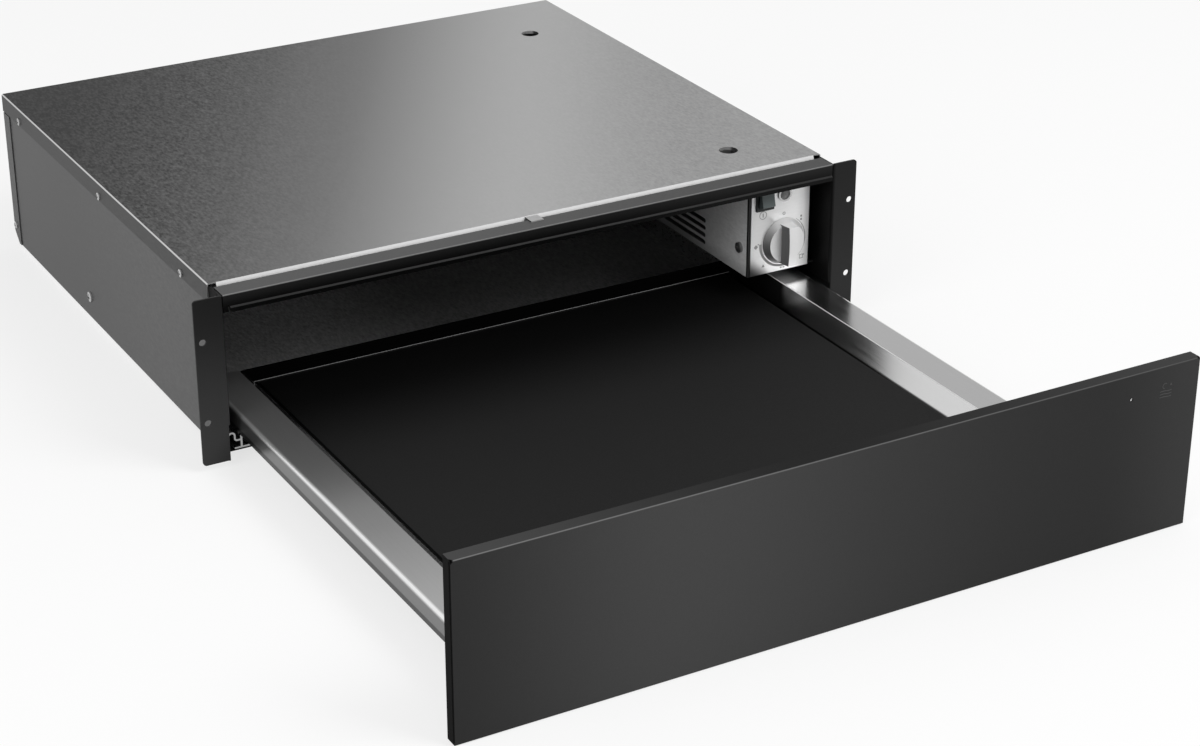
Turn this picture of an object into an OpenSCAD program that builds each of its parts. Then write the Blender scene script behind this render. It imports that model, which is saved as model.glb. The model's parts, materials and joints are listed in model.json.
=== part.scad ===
// Built-in warming drawer, shown with its drawer fully open.
// Origin: middle of the casing's underside. +X to the right, +Y to the back, +Z up.

/* [Casing] */
// Width of the casing over the cover's side lips
casing_w = 547.2; // [535:0.1:560]
// Depth of the casing, from the cover's front edge to its back
casing_d = 477.7; // [470:0.1:500]
// Height of the casing
casing_h = 138.7; // [136:0.1:150]
// Thickness of the casing's sheet steel
sheet_t = 0.8; // [0.6:0.1:1]
// Height of the cover's side lips
side_lip_h = 15.5; // [14:0.5:18]
// Height of the cover's rear lip and depth of the rear panel's side lips
rear_lip = 15; // [13:0.5:18]
// Drop of the cover's front lip
front_lip_h = 3.6; // [3:0.1:4.5]
// Bevel along the casing's bottom rear edge
rear_bevel = 10; // [8:0.5:12]
// Outer radius of the cover's long folds
fold_r = 1.6; // [1.2:0.1:2.4]
// Radius of the two vent holes in the cover
vent_hole_r = 8; // [6:0.5:9]

/* [Front frame] */
// Reach of the frame's front plane ahead of the cover
frame_reach = 23; // [21:0.5:26]
// Drop of the frame's top below the cover
frame_drop = 1.2; // [1:0.1:2]
// Height of the crossbar's front face
crossbar_h = 9.7; // [9:0.1:14]
// Depth of the crossbar, front to back
crossbar_d = 17.5; // [15:0.5:19]
// Height of the joggled lip under the crossbar's face
crossbar_lip_h = 4.5; // [3:0.1:6]
// Thickness of the crossbar's sheet
crossbar_t = 1.2; // [1:0.1:1.5]
// Width of the ears beside the opening
ear_w = 24; // [20:0.5:28]
// Thickness of the ear brackets
ear_t = 1.5; // [1.2:0.1:2]
// Radius of the ears' outer corners
ear_corner_r = 3; // [1:0.5:5]
// Radius of the fixing holes in the ears
ear_hole_r = 2.75; // [2:0.05:3.2]
// Distance of the fixing holes from the ears' outer edges
ear_hole_inset = 6; // [5:0.5:8]
// Distance between the upper and lower fixing holes
ear_hole_pitch = 66.7; // [60:0.1:75]
// Drop of the upper fixing holes below the cover
ear_hole_drop = 35.8; // [30:0.1:40]

/* [Drawer] */
// Travel of the drawer from closed to fully open
travel = 413; // [390:1:420]
// Gap between the tray's outer strips and the casing's sides
tray_gap = 10.5; // [9.5:0.1:11]
// Width of the flange on each side of the tray
flange_w = 30; // [28.5:0.5:33]
// Height of the flanges' top above the casing's underside
flange_z = 34.7; // [34.5:0.1:36]
// Height of the strip that hangs from each flange
strip_h = 17; // [14:0.5:18]
// Depth of the tray from its flanges to its floor
tray_depth = 14.4; // [12:0.1:16]
// Thickness of the tray's stainless sheet
tray_t = 0.8; // [0.7:0.1:1]
// Radius of the fold between flange and strip
tray_fold_r = 3.5; // [2:0.1:4.5]
// Gap between the tray's back and the rear panel when the drawer is closed
tray_rear_gap = 7.4; // [6.5:0.1:10]
// Thickness of the anti-slip mat
mat_t = 2; // [1.5:0.1:3]
// Gap between the mat's edges and the foot of the tray's walls
mat_gap = 1; // [0.5:0.1:2]

/* [Front panel] */
// Reach of the front panel past the ears on each side
panel_over = 2.5; // [1:0.1:5]
// Height of the front panel
panel_h = 134.5; // [132:0.1:138]
// Thickness of the front panel
panel_t = 10.7; // [9:0.1:14]
// Drop of the panel's top below the cover
panel_drop = 8.1; // [6:0.1:10]
// Gap between the closed panel and the ears
panel_gap = 2.5; // [2:0.1:3.5]
// Thickness of the panel's skin
skin_t = 1; // [0.8:0.1:1.4]
// Thickness of the carrier inside the panel
carrier_t = 1.2; // [1:0.1:1.5]
// Radius of the pilot light guide
guide_r = 1.1; // [1:0.1:2]

/* [Slides] */
// Length of each slide member
rail_l = 450; // [446:1:452]
// Distance of the slides' centre lines from the casing's sides
rail_side = 26.7; // [26.2:0.1:27]
// Thickness of the slides' steel
rail_t = 1.6; // [1.4:0.1:1.8]
// Outer half width of the middle member
middle_half_w = 7.6; // [7:0.1:7.9]
// Radius of the slide balls
ball_r = 1.9; // [1.7:0.05:2]
// Number of balls in each row
balls_per_row = 6; // [4:1:10]
// Stroke of the push-to-open plungers
push_stroke = 4; // [3:0.5:5]

/* [Controls] */
// Width of the control box
box_w = 69; // [66:0.5:70]
// Length of the control box, front to back
box_l = 440; // [430:1:445]
// Gap between the tray's flanges and the control box
box_gap = 7; // [5:0.1:9]
// Width of the control plate
plate_w = 57; // [55:0.5:58]
// Thickness of the control plate
plate_t = 1.2; // [1:0.1:1.5]
// Height of the knob's axis above the control plate's bottom edge
knob_rise = 26.6; // [25:0.1:29]
// Distance of the knob's axis from the control plate's left edge
knob_inset = 32; // [31:0.1:33]
// Radius of the knob at its base
knob_r = 20.2; // [18:0.1:21]
// Radius of the knob's front face
knob_face_r = 16.8; // [15:0.1:18]
// Height of the knob's skirt
knob_skirt_h = 6; // [5:0.5:8]
// Overall height of the knob over the control plate
knob_h = 16.6; // [15:0.1:18]
// Width of the rocker switch
switch_w = 17; // [16:0.1:18]
// Height of the rocker switch
switch_h = 27; // [24:0.5:29]
// Radius of the pilot lamp's bezel
lamp_r = 6.4; // [5.5:0.1:7]
// Height of one vent slot
vent_h = 4; // [3:0.1:4.5]
// Distance between vent slots
vent_pitch = 6.6; // [6:0.1:7.5]
// Number of vent slots in each group
vent_rows = 4; // [3:1:5]
// Length of the vent slots
vent_l = 100; // [80:1:110]
// Radius of the cable gland's bore
cable_r = 4.2; // [3:0.1:5]

/* [Hidden] */
$fn = 48;

// Overrun of every cut
overrun = 1;
// Clearance round a screw, and between parts that only pass each other
screw_clear = 0.15;
fit_clear = 0.3;
// Gap between bodies that slide past each other
slide_gap = 0.5;

// Planes of the casing
front_y = -casing_d / 2;
back_y = casing_d / 2;
top_z = casing_h;
under_cover_z = top_z - sheet_t;
side_x = casing_w / 2;
pan_x = side_x - sheet_t;
pan_in_x = pan_x - sheet_t;
pan_top_z = under_cover_z - fold_r + sheet_t / 2;
rear_out_y = back_y - sheet_t;
rear_in_y = rear_out_y - sheet_t;
frame_y = front_y - frame_reach;
frame_top_z = top_z - frame_drop;
frame_in_x = pan_in_x - ear_t;
ear_out_x = frame_in_x + ear_w;
ear_hole_x = ear_out_x - ear_hole_inset;
ear_back_y = frame_y + ear_t;

// Casing details
floor_inset = 15.5;
foot_lip = 5;
lip_gap = 1.1;
front_lip_out = 1.4;
front_lip_cut = 6.4;
tab_w = 11;
tab_reach = 10.8;
collar_h = 2;
collar_t = 0.8;
ear_end_gap = 1.2;
ear_leg_d = 41;
ear_leg_z = 30.7;
lip_step = 1.2;
crossbar_lip_cut = 5.2;
crossbar_end_w = 4;
ear_bend_r = 1.8;
crossbar_rear_h = 9;

// Screws: radius and height of the head, radius and length of the shank, cross recess
screw_head_r = 3.2;
screw_head_h = 1.9;
screw_shank_r = 1.75;
screw_l = 9;
slide_head_r = 4.4;
slide_head_h = 2.4;
slide_shank_r = 2.2;
recess_share = 0.62;
recess_w_share = 0.2;
recess_depth_share = 0.55;
casing_screw_drop = 11.5;
casing_screw_shares = [0.1124, 0.4886, 0.9064];
rear_screw_shares = [-0.7, 0, 0.7];
rear_screw_drop = 7.5;
wrap_screw_inset = 5;
wrap_screw_z = 16.7;
slide_screw_z = 19.7;
slide_screw_front = 5;
slide_screw_back = 280;

// Drawer planes when closed; the drawer is drawn open, moved forward by its travel
closed_back_y = frame_y - panel_gap;
tray_out_x = pan_in_x - tray_gap;
tray_fold_x = tray_out_x - flange_w;
tray_floor_x = tray_fold_x - tray_depth;
tray_floor_z = flange_z - tray_depth;
strip_z = flange_z - strip_h;
tray_end_y = rear_in_y - tray_rear_gap;
rear_wall_drop = 1;
rear_hem = 2;
rear_foot_r = 2.2;
miter = sqrt(2) - 1;
panel_half_w = ear_out_x + panel_over;
panel_top_z = top_z - panel_drop;
panel_z = panel_top_z - panel_h;
seam_w = 2;
seam_depth = 1;
skin_edge_r = 1.2;
carrier_gap = 0.2;
guide_collar_r = 3;
guide_collar_h = 1;
guide_recess = 0.8;
bumper_r = 5;
bumper_inset = 8;
panel_screw_shares = [-0.75, -0.25, 0.25, 0.75];
panel_screw_l = 5;

// Slides: each row of balls runs in two grooves; the members nest round the middle one
rail_x = pan_in_x - rail_side;
ball_gap = 3;
ball_clear = 0.15;
ball_x = middle_half_w + ball_gap / 2;
outer_half_in = middle_half_w + ball_gap;
outer_half_w = outer_half_in + rail_t;
groove_r = ball_r + ball_clear;
rail_under_flange_z = flange_z - tray_t;
rail_floor_z = sheet_t;
middle_top_z = rail_under_flange_z - rail_t - ball_gap / 2;
middle_h = 23.2;
middle_z = middle_top_z - middle_h;
middle_web_z = middle_z + middle_h / 2;
upper_row_z = middle_top_z - middle_h / 4;
lower_row_z = middle_z + middle_h / 4;
row_margin = 3.4;
drawer_wall_z = upper_row_z - row_margin - ball_r / 2;
fixed_wall_z = lower_row_z + row_margin;
hook_t = 1.4;
hook_side = 7.5;
hook_in_r = 1.8;
hook_top_z = 15.6;
hook_web_z = 7.4;
hook_elbow_r = 1.2;
hook_leg_z = 5;
lug_l = 18;
lug_z = 10;
lug_top_z = 22.6;
rail_foot_w = 5;
rail_inset = 0.5;
rail_y = frame_y + floor_inset + rail_inset;
rail_end_y = rail_y + rail_l;
middle_inset = 11.5;
middle_y = rail_y + middle_inset;
middle_short = 1;
drawer_rail_y = closed_back_y + tray_t;
drawer_rail_end_y = drawer_rail_y + rail_l;
stop_tab_w = 9;
stop_tab_h = 10;
cage_t = 0.8;
cage_h = 5.4;
cage_margin = 4;
lower_cage_z = rail_floor_z + rail_t + 1;
upper_cage_z = middle_top_z + (ball_gap / 2 - cage_t) / 2;
latch_w = 19;
latch_l = 16;
latch_top_gap = 1.4;
plunger_r = 3.5;
plunger_l = 24;
plunger_bore_clear = 0.1;

// Control box and what it carries
box_x = pan_in_x - box_w;
box_z = flange_z + box_gap;
box_floor_z = box_z + sheet_t;
box_top_z = under_cover_z - fit_clear;
box_back_y = front_y + box_l;
bezel_back = 0.5;
bezel_edge = 4;
bezel_over = 1.5;
box_front_y = front_y + bezel_back;
box_flange_h = 12;
box_hole_r = 9;
plate_inset = 2;
plate_x = box_x + plate_inset;
plate_z = box_floor_z;
plate_drop = 6;
plate_top_z = top_z - plate_drop;
plate_out = 3;
plate_y = front_y - plate_out;
plate_back_y = plate_y + plate_t;
vent_front = 65.5;
vent_back_front = 215;
vent_bottom = 7.3;
vent_hole_inset = 44.6;
vent_hole_x = box_x + vent_hole_r;
box_screw_inset = 10.6;
box_screw_y = front_y + box_screw_inset;
box_screw_l = 5;
box_head_r = 4.6;
box_head_h = 3.4;
box_screw_rise = 22.6;
box_screw_drop = 15;
box_screw_zs = [plate_z + box_screw_rise, plate_top_z - box_screw_drop];
partition_t = 1;
partition_front = 58;
partition_back = 330;
partition_front_y = front_y + partition_front;
partition_back_y = front_y + partition_back;

knob_x = plate_x + knob_inset;
knob_z = plate_z + knob_rise;
knob_off_plate = 0.4;
knob_bar_w = 12.4;
knob_bar_front_w = 8.4;
knob_bar_l = 34.6;
knob_bar_bow = 1;
shaft_r = 3;
shaft_clear = 0.08;
shaft_front = 15;
shaft_back = 12;
bush_r = 5;
regulator_size = 34;
regulator_front = 4;
regulator_l = 26;

lamp_x = knob_x;
lamp_drop = 21.6;
lamp_z = plate_top_z - lamp_drop;
lamp_lens_r = 4.7;
lamp_proud = 1.4;
lamp_body_r = 5;
lamp_body_l = 15;

switch_inset = 12.7;
switch_drop = 19;
switch_x = plate_x + switch_inset;
switch_z = plate_top_z - switch_drop;
switch_proud = 1.6;
switch_rim = 2.2;
switch_wall = 1;
switch_body_l = 18;
rocker_w = switch_w - 2 * switch_rim;
rocker_r = switch_h / 2 - switch_rim;
rocker_clear = 0.4;
rocker_tilt = -7;
rocker_front = 6.4;
rocker_dip = 1.5;
rocker_back = 2.4;
rocker_pin_r = 1;
rocker_pin_l = 0.8;
rocker_pivot_out = 0.4;
rocker_pivot_y = plate_y - rocker_pivot_out;
pocket_depth = 6;

fan_place = 262;
fan_rise = 47;
fan_y = front_y + fan_place;
fan_z = box_floor_z + fan_rise;
fan_r = 36;
fan_t = 1.2;
fan_gap = 4;
fan_x = box_x + sheet_t + fan_gap;
fan_w = 40;
fan_inlet_r = 22;
fan_outlet_h = 30;
fan_outlet_l = 52;
wheel_r = 30;
wheel_gap = 3;
wheel_disc_t = 1.5;
wheel_blades = 16;
blade_t = 1.2;
blade_l = 9;
blade_turn = 35;
hub_r = 6;
hub_l = 12;
motor_shaft_r = 2;
motor_r = 21;
motor_l = 16;
motor_hub_r = 8;
motor_hub_l = 2;

heater_r = 3.2;
heater_bend_r = 9;
heater_bend_thinning = 0.1;
heater_runs = 4;
heater_front = 8;
heater_l = 86;
heater_inset = 34;
heater_rise = 18;
heater_x = box_x + heater_inset;
heater_z = box_floor_z + heater_rise;
heater_plate_t = 2;
heater_plate_margin = 8;
cutout_r = 8;
cutout_h = 6;
cutout_rise = 20;

gland_inset = 35;
gland_rise = 37;
gland_x = box_x + gland_inset;
gland_z = box_z + gland_rise;
gland_r = 9;
gland_flange_r = 13;
gland_flange_t = 5;
gland_cap_r = 11;
gland_cap_l = 8;
gland_inner_l = 10;
gland_nut_r = 13;
gland_nut_t = 5;
gland_seat_t = sheet_t;
hex_sides = 6;

terminal_l = 34;
terminal_w = 18;
terminal_h = 20;
terminal_gap = 64;
terminal_wall = 3;
terminal_screw_r = 2.2;
loom_r = 3;
loom_side_gap = 8;
loom_drop = 18;
loom_front = 24;
loom_x = pan_in_x - loom_side_gap;
loom_z = top_z - loom_drop;
loom_front_y = front_y + loom_front;
terminal_y = box_back_y - terminal_gap - terminal_l;
loom_back_y = terminal_y + terminal_l / 3;
loom_hole_r = 5;
clip_l = 6;
clip_wall = 2;
clip_behind_screw = 20;

// A block between two corners, given as a range along each axis
module span(xs, ys, zs) {
    translate([xs[0], ys[0], zs[0]]) cube([xs[1] - xs[0], ys[1] - ys[0], zs[1] - zs[0]]);
}

// An outline in X and Z, run along Y
module along(y0, y1) {
    translate([0, y1, 0]) rotate([90, 0, 0]) linear_extrude(y1 - y0) children();
}

// An outline in Y and Z, run along X
module across(x0, x1) {
    translate([x0, 0, 0]) rotate([90, 0, 90]) linear_extrude(x1 - x0) children();
}

// A round rod along X or Y
module rod_x(x0, x1, y, z, r) {
    translate([x0, y, z]) rotate([0, 90, 0]) cylinder(r = r, h = x1 - x0);
}
module rod_y(x, y0, y1, z, r) {
    translate([x, y0, z]) rotate([-90, 0, 0]) cylinder(r = r, h = y1 - y0);
}

// The left-hand copy of a right-hand piece
module sided(side) {
    if (side < 0) mirror([1, 0, 0]) children();
    else children();
}

module drawer_out(share) {
    translate([0, -travel * share, 0]) children();
}

// A rectangle whose two upper corners are round
module arch_outline(w, z0, z1, r) {
    translate([-w / 2, z0]) square([w, z1 - z0 - r]);
    translate([-w / 2 + r, z0]) square([w - 2 * r, z1 - z0]);
    for (side = [-1, 1]) translate([side * (w / 2 - r), z1 - r]) circle(r);
}

// A slot with round ends, in Y and Z
module slot_outline(l, h) {
    translate([h / 2, 0]) circle(h / 2);
    translate([l - h / 2, 0]) circle(h / 2);
    translate([h / 2, -h / 2]) square([l - h, h]);
}

// Quarter of a ring of sheet round an inner radius, towards the given sides
module bend(r, t, x_side, z_side) {
    intersection() {
        difference() {
            circle(r + t);
            circle(r);
        }
        translate([x_side < 0 ? -r - t : 0, z_side < 0 ? -r - t : 0]) square(r + t);
    }
}

// A pan head screw with a cross recess: its head stands on z = 0 and its shank points down
module screw(head_r, head_h, shank_r, shank_l) {
    difference() {
        union() {
            intersection() {
                cylinder(r = head_r, h = head_h);
                translate([0, 0, head_h - head_r * 2]) sphere(r = head_r * 2);
            }
            translate([0, 0, -shank_l]) cylinder(r = shank_r, h = shank_l);
        }
        for (turn = [0, 90])
            rotate([0, 0, turn])
                span([-head_r * recess_share, head_r * recess_share],
                    [-head_r * recess_w_share, head_r * recess_w_share],
                    [head_h * (1 - recess_depth_share), head_h + overrun]);
    }
}

// Places of the screws in the casing's sides, as [y, z]
casing_screw_spots = [for (share = casing_screw_shares)
    [front_y + casing_d * share, top_z - casing_screw_drop]];
wrap_screw_spot = [rear_in_y - wrap_screw_inset, wrap_screw_z];
slide_screw_ys = [front_y + slide_screw_front, front_y + slide_screw_back];

module on_side(side, y, z, x) {
    translate([side * x, y, z]) rotate([0, side * 90, 0]) children();
}

module side_screw_holes() {
    for (side = [-1, 1])
        for (spot = concat(casing_screw_spots, [wrap_screw_spot]))
            on_side(side, spot[0], spot[1], side_x + overrun)
                translate([0, 0, -3 * sheet_t - 2 * overrun])
                    cylinder(r = screw_shank_r + screw_clear, h = 3 * sheet_t + 2 * overrun);
}

module rear_screw_holes() {
    for (share = rear_screw_shares)
        rod_y(share * pan_in_x, rear_in_y - overrun, back_y + overrun, top_z - rear_screw_drop,
            screw_shank_r + screw_clear);
}

// Folded floor and sides of the casing
module base_pan() color("darkgray") difference() {
    union() {
        span([-pan_x, pan_x], [frame_y + floor_inset, rear_out_y - rear_bevel], [0, sheet_t]);
        for (side = [-1, 1])
            across(side * (pan_x + pan_in_x) / 2 - sheet_t / 2, side * (pan_x + pan_in_x) / 2 + sheet_t / 2)
                polygon([[ear_back_y, 0], [rear_in_y - rear_bevel, 0], [rear_in_y, rear_bevel],
                    [rear_in_y, pan_top_z], [ear_back_y, pan_top_z]]);
    }
    side_screw_holes();
    for (side = [-1, 1]) {
        for (y = slide_screw_ys)
            on_side(side, y, slide_screw_z, side_x)
                translate([0, 0, -3 * sheet_t]) cylinder(r = slide_shank_r + screw_clear, h = 4 * sheet_t);
        on_side(side, frame_screw_y, frame_screw_z, side_x)
            translate([0, 0, -3 * sheet_t]) cylinder(r = screw_shank_r + screw_clear, h = 4 * sheet_t);
    }
}

// Lid of the casing, with a lip on every side, a tab over the frame and two vent holes
vent_hole_ys = [front_y + vent_hole_inset, box_back_y - vent_hole_inset];
module top_cover() color("gray") difference() {
    union() {
        along(front_y, back_y) difference() {
            arch_outline(casing_w, top_z - side_lip_h, top_z, fold_r);
            translate([0, -overrun])
                arch_outline(casing_w - 2 * sheet_t, top_z - side_lip_h, under_cover_z + overrun,
                    fold_r - sheet_t / 2);
        }
        span([-side_x + fold_r, side_x - fold_r], [rear_out_y, back_y],
            [top_z - rear_lip, top_z - sheet_t / 2]);
        across(-pan_x + front_lip_cut, pan_x - front_lip_cut)
            polygon([[front_y, top_z], [front_y - front_lip_out, top_z - front_lip_h],
                [front_y - front_lip_out + sheet_t, top_z - front_lip_h],
                [front_y + sheet_t, under_cover_z], [front_y + sheet_t, top_z]]);
        span([-tab_w / 2, tab_w / 2], [front_y - tab_reach, front_y],
            [frame_top_z, frame_top_z + sheet_t]);
        for (y = vent_hole_ys)
            translate([vent_hole_x, y, under_cover_z - collar_h])
                cylinder(r = vent_hole_r + collar_t, h = collar_h + sheet_t / 2);
    }
    for (y = vent_hole_ys)
        translate([vent_hole_x, y, under_cover_z - collar_h - overrun])
            cylinder(r = vent_hole_r, h = collar_h + sheet_t + 2 * overrun);
    side_screw_holes();
    rear_screw_holes();
}

// Back of the casing, with side lips, a bevelled foot and a hole for the cable gland
wrap_top_z = top_z - side_lip_h - lip_gap;
module rear_panel() color("darkgray") difference() {
    union() {
        across(-pan_in_x, pan_in_x)
            polygon([[rear_out_y, box_top_z], [rear_out_y, rear_bevel + sheet_t],
                [rear_out_y - rear_bevel, sheet_t], [rear_out_y - rear_bevel - foot_lip, sheet_t],
                [rear_out_y - rear_bevel - foot_lip, 2 * sheet_t],
                [rear_out_y - rear_bevel - sheet_t * miter, 2 * sheet_t],
                [rear_in_y, rear_bevel + sheet_t + sheet_t * miter], [rear_in_y, box_top_z]]);
        span([-side_x, side_x], [rear_in_y, rear_out_y], [rear_bevel + 2 * sheet_t, wrap_top_z]);
        for (side = [-1, 1])
            across(side * (side_x + pan_x) / 2 - sheet_t / 2, side * (side_x + pan_x) / 2 + sheet_t / 2)
                polygon([[rear_out_y - rear_lip, 0], [rear_out_y - rear_bevel, 0], [rear_out_y, rear_bevel],
                    [rear_out_y, wrap_top_z], [rear_out_y - rear_lip, wrap_top_z]]);
    }
    side_screw_holes();
    rear_screw_holes();
    rod_y(gland_x, rear_in_y - overrun, rear_out_y + overrun, gland_z, gland_r + screw_clear);
}

// Black bar across the top of the opening; the lip below its face is joggled forwards
crossbar_face_z = frame_top_z - crossbar_h;
frame_screw_y = frame_y + crossbar_d / 2;
frame_screw_z = frame_top_z - crossbar_h / 2;
module front_crossbar() color("black") difference() {
    union() {
        across(-frame_in_x, frame_in_x) {
            polygon([[frame_y, frame_top_z], [frame_y, crossbar_face_z],
                [frame_y + crossbar_t, crossbar_face_z],
                [frame_y + crossbar_t, frame_top_z - crossbar_t],
                [frame_y + crossbar_d - crossbar_t, frame_top_z - crossbar_t],
                [frame_y + crossbar_d - crossbar_t, frame_top_z - crossbar_rear_h],
                [frame_y + crossbar_d, frame_top_z - crossbar_rear_h],
                [frame_y + crossbar_d, frame_top_z]]);
        }
        across(-frame_in_x + crossbar_lip_cut, frame_in_x - fit_clear)
            polygon([[frame_y, crossbar_face_z],
                [frame_y - lip_step, crossbar_face_z - lip_step],
                [frame_y - lip_step, crossbar_face_z - crossbar_lip_h],
                [frame_y - lip_step + crossbar_t, crossbar_face_z - crossbar_lip_h],
                [frame_y - lip_step + crossbar_t, crossbar_face_z - lip_step - crossbar_t * miter],
                [frame_y + crossbar_t, crossbar_face_z - crossbar_t * miter],
                [frame_y + crossbar_t, crossbar_face_z + crossbar_t],
                [frame_y, crossbar_face_z + crossbar_t]]);
        for (side = [-1, 1])
            across(side * (frame_in_x - crossbar_t / 2) - crossbar_t / 2,
                side * (frame_in_x - crossbar_t / 2) + crossbar_t / 2)
                translate([frame_y, crossbar_face_z]) square([crossbar_d, crossbar_h]);
        for (side = [-1, 1])
            along(frame_y, frame_y + crossbar_t)
                translate([side * (frame_in_x - crossbar_end_w / 2) - crossbar_end_w / 2,
                    crossbar_face_z - crossbar_lip_h])
                    square([crossbar_end_w, crossbar_lip_h + crossbar_t]);
    }
    for (side = [-1, 1])
        on_side(side, frame_screw_y, frame_screw_z, frame_in_x + overrun)
            translate([0, 0, -crossbar_t - 2 * overrun])
                cylinder(r = screw_shank_r + screw_clear, h = crossbar_t + 2 * overrun);
}

// Black bracket with the mounting ear, on one side of the opening
ear_z = ear_end_gap;
ear_top_z = top_z - ear_end_gap;
ear_in_x = frame_in_x + ear_bend_r;
module ear(side) color("black") sided(side) difference() {
    union() {
        along(frame_y, ear_back_y) {
            translate([ear_in_x, ear_z]) square([ear_out_x - ear_in_x - ear_corner_r, ear_top_z - ear_z]);
            translate([ear_in_x, ear_z + ear_corner_r])
                square([ear_out_x - ear_in_x, ear_top_z - ear_z - 2 * ear_corner_r]);
            for (z = [ear_z + ear_corner_r, ear_top_z - ear_corner_r])
                translate([ear_out_x - ear_corner_r, z]) circle(ear_corner_r);
        }
        translate([0, 0, ear_leg_z]) linear_extrude(frame_top_z - sheet_t - ear_leg_z) {
            translate([frame_in_x, frame_y + ear_bend_r]) square([ear_t, ear_leg_d - ear_bend_r]);
            translate([ear_in_x, frame_y + ear_bend_r]) bend(ear_bend_r - ear_t, ear_t, -1, -1);
        }
    }
    for (drop = [ear_hole_drop, ear_hole_drop + ear_hole_pitch])
        rod_y(ear_hole_x, frame_y - overrun, ear_back_y + overrun, top_z - drop, ear_hole_r);
    rod_x(frame_in_x - overrun, pan_in_x + overrun, frame_screw_y, frame_screw_z,
        screw_shank_r + screw_clear);
}

module casing_screws() color("silver") {
    for (side = [-1, 1])
        for (spot = concat(casing_screw_spots, [wrap_screw_spot]))
            on_side(side, spot[0], spot[1], side_x) screw(screw_head_r, screw_head_h, screw_shank_r, screw_l);
    for (share = rear_screw_shares)
        translate([share * pan_in_x, back_y, top_z - rear_screw_drop]) rotate([-90, 0, 0])
            screw(screw_head_r, screw_head_h, screw_shank_r, screw_l);
}

// Screws that tie the crossbar to the ear brackets and the casing
module frame_screws() color("silver")
    for (side = [-1, 1])
        on_side(-side, frame_screw_y, frame_screw_z, crossbar_t - frame_in_x)
            screw(screw_head_r, screw_head_h, screw_shank_r, crossbar_t + ear_t + sheet_t);

module slide_screws() color("silver")
    for (side = [-1, 1])
        for (y = slide_screw_ys)
            on_side(side, y, slide_screw_z, pan_x)
                screw(slide_head_r, slide_head_h, slide_shank_r, sheet_t + hook_t);

// Sheet steel box along the right side, with vent slots towards the drawer
module control_box() color("dimgray") difference() {
    union() {
        span([box_x, box_x + sheet_t], [box_front_y, box_back_y], [box_z, box_top_z]);
        span([box_x, pan_in_x], [box_front_y, box_back_y], [box_z, box_floor_z]);
        span([pan_in_x - sheet_t, pan_in_x], [frame_y + ear_leg_d + fit_clear, box_back_y],
            [box_z, box_z + box_flange_h]);
        span([box_x, pan_in_x], [box_back_y - sheet_t, box_back_y], [box_z, box_top_z]);
    }
    span([frame_in_x - fit_clear, pan_in_x + overrun],
        [box_front_y - overrun, frame_y + ear_leg_d + fit_clear],
        [box_z - overrun, box_floor_z + overrun]);
    for (start = [vent_front, vent_back_front])
        for (row = [0:vent_rows - 1])
            across(box_x - overrun, box_x + sheet_t + overrun)
                translate([front_y + start, box_z + vent_bottom + vent_pitch * row])
                    slot_outline(vent_l, vent_h);
    for (z = box_screw_zs)
        rod_x(box_x - overrun, box_x + sheet_t + overrun, box_screw_y, z, screw_shank_r + screw_clear);
    for (y = vent_hole_ys)
        translate([vent_hole_x, y, under_cover_z - collar_h - fit_clear])
            cylinder(r = vent_hole_r + collar_t + fit_clear, h = collar_h + overrun);
    rod_y(gland_x, box_back_y - sheet_t - overrun, box_back_y + overrun, gland_z, box_hole_r);
}

// Two walls that keep the air path apart from the switches and the terminals
module box_partitions() color("dimgray")
    for (y = [partition_front_y, partition_back_y])
        difference() {
            span([box_x + sheet_t, pan_in_x - sheet_t], [y, y + partition_t],
                [box_floor_z, box_top_z]);
            rod_y(loom_x, y - overrun, y + partition_t + overrun, loom_z, loom_hole_r);
        }

// Black plastic frame between the control plate and the box
module control_bezel() color("black") difference() {
    span([box_x, plate_x + plate_w + bezel_over], [plate_back_y, box_front_y],
        [plate_z - bezel_over / 2, plate_top_z]);
    span([box_x + bezel_edge, plate_x + plate_w + bezel_over - bezel_edge],
        [plate_back_y - overrun, box_front_y + overrun],
        [plate_z - bezel_over / 2 + bezel_edge, plate_top_z - bezel_edge]);
}

module box_screws() color("silver")
    for (z = box_screw_zs)
        on_side(-1, box_screw_y, z, -box_x) screw(box_head_r, box_head_h, screw_shank_r, box_screw_l);

// Brushed plate with the switch, the pilot lamp and the knob
module control_plate() color("lightgray") difference() {
    span([plate_x, plate_x + plate_w], [plate_y, plate_back_y], [plate_z, plate_top_z]);
    span([switch_x - rocker_w / 2 - switch_wall - fit_clear,
            switch_x + rocker_w / 2 + switch_wall + fit_clear],
        [plate_y - overrun, plate_back_y + overrun],
        [switch_z - rocker_r - switch_wall - fit_clear, switch_z + rocker_r + switch_wall + fit_clear]);
    rod_y(lamp_x, plate_y - overrun, plate_back_y + overrun, lamp_z, lamp_body_r + screw_clear);
    rod_y(knob_x, plate_y - overrun, plate_back_y + overrun, knob_z, bush_r + screw_clear);
}

module switch_body() color("darkslategray") difference() {
    union() {
        span([switch_x - switch_w / 2, switch_x + switch_w / 2], [plate_y - switch_proud, plate_y],
            [switch_z - switch_h / 2, switch_z + switch_h / 2]);
        span([switch_x - rocker_w / 2 - switch_wall, switch_x + rocker_w / 2 + switch_wall],
            [plate_y, plate_y + switch_body_l],
            [switch_z - rocker_r - switch_wall, switch_z + rocker_r + switch_wall]);
    }
    span([switch_x - rocker_w / 2, switch_x + rocker_w / 2],
        [plate_y - switch_proud - overrun, plate_y + pocket_depth],
        [switch_z - rocker_r, switch_z + rocker_r]);
    rod_x(switch_x - rocker_w / 2 - rocker_pin_l, switch_x + rocker_w / 2 + rocker_pin_l,
        rocker_pivot_y, switch_z, rocker_pin_r + plunger_bore_clear);
}

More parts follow.
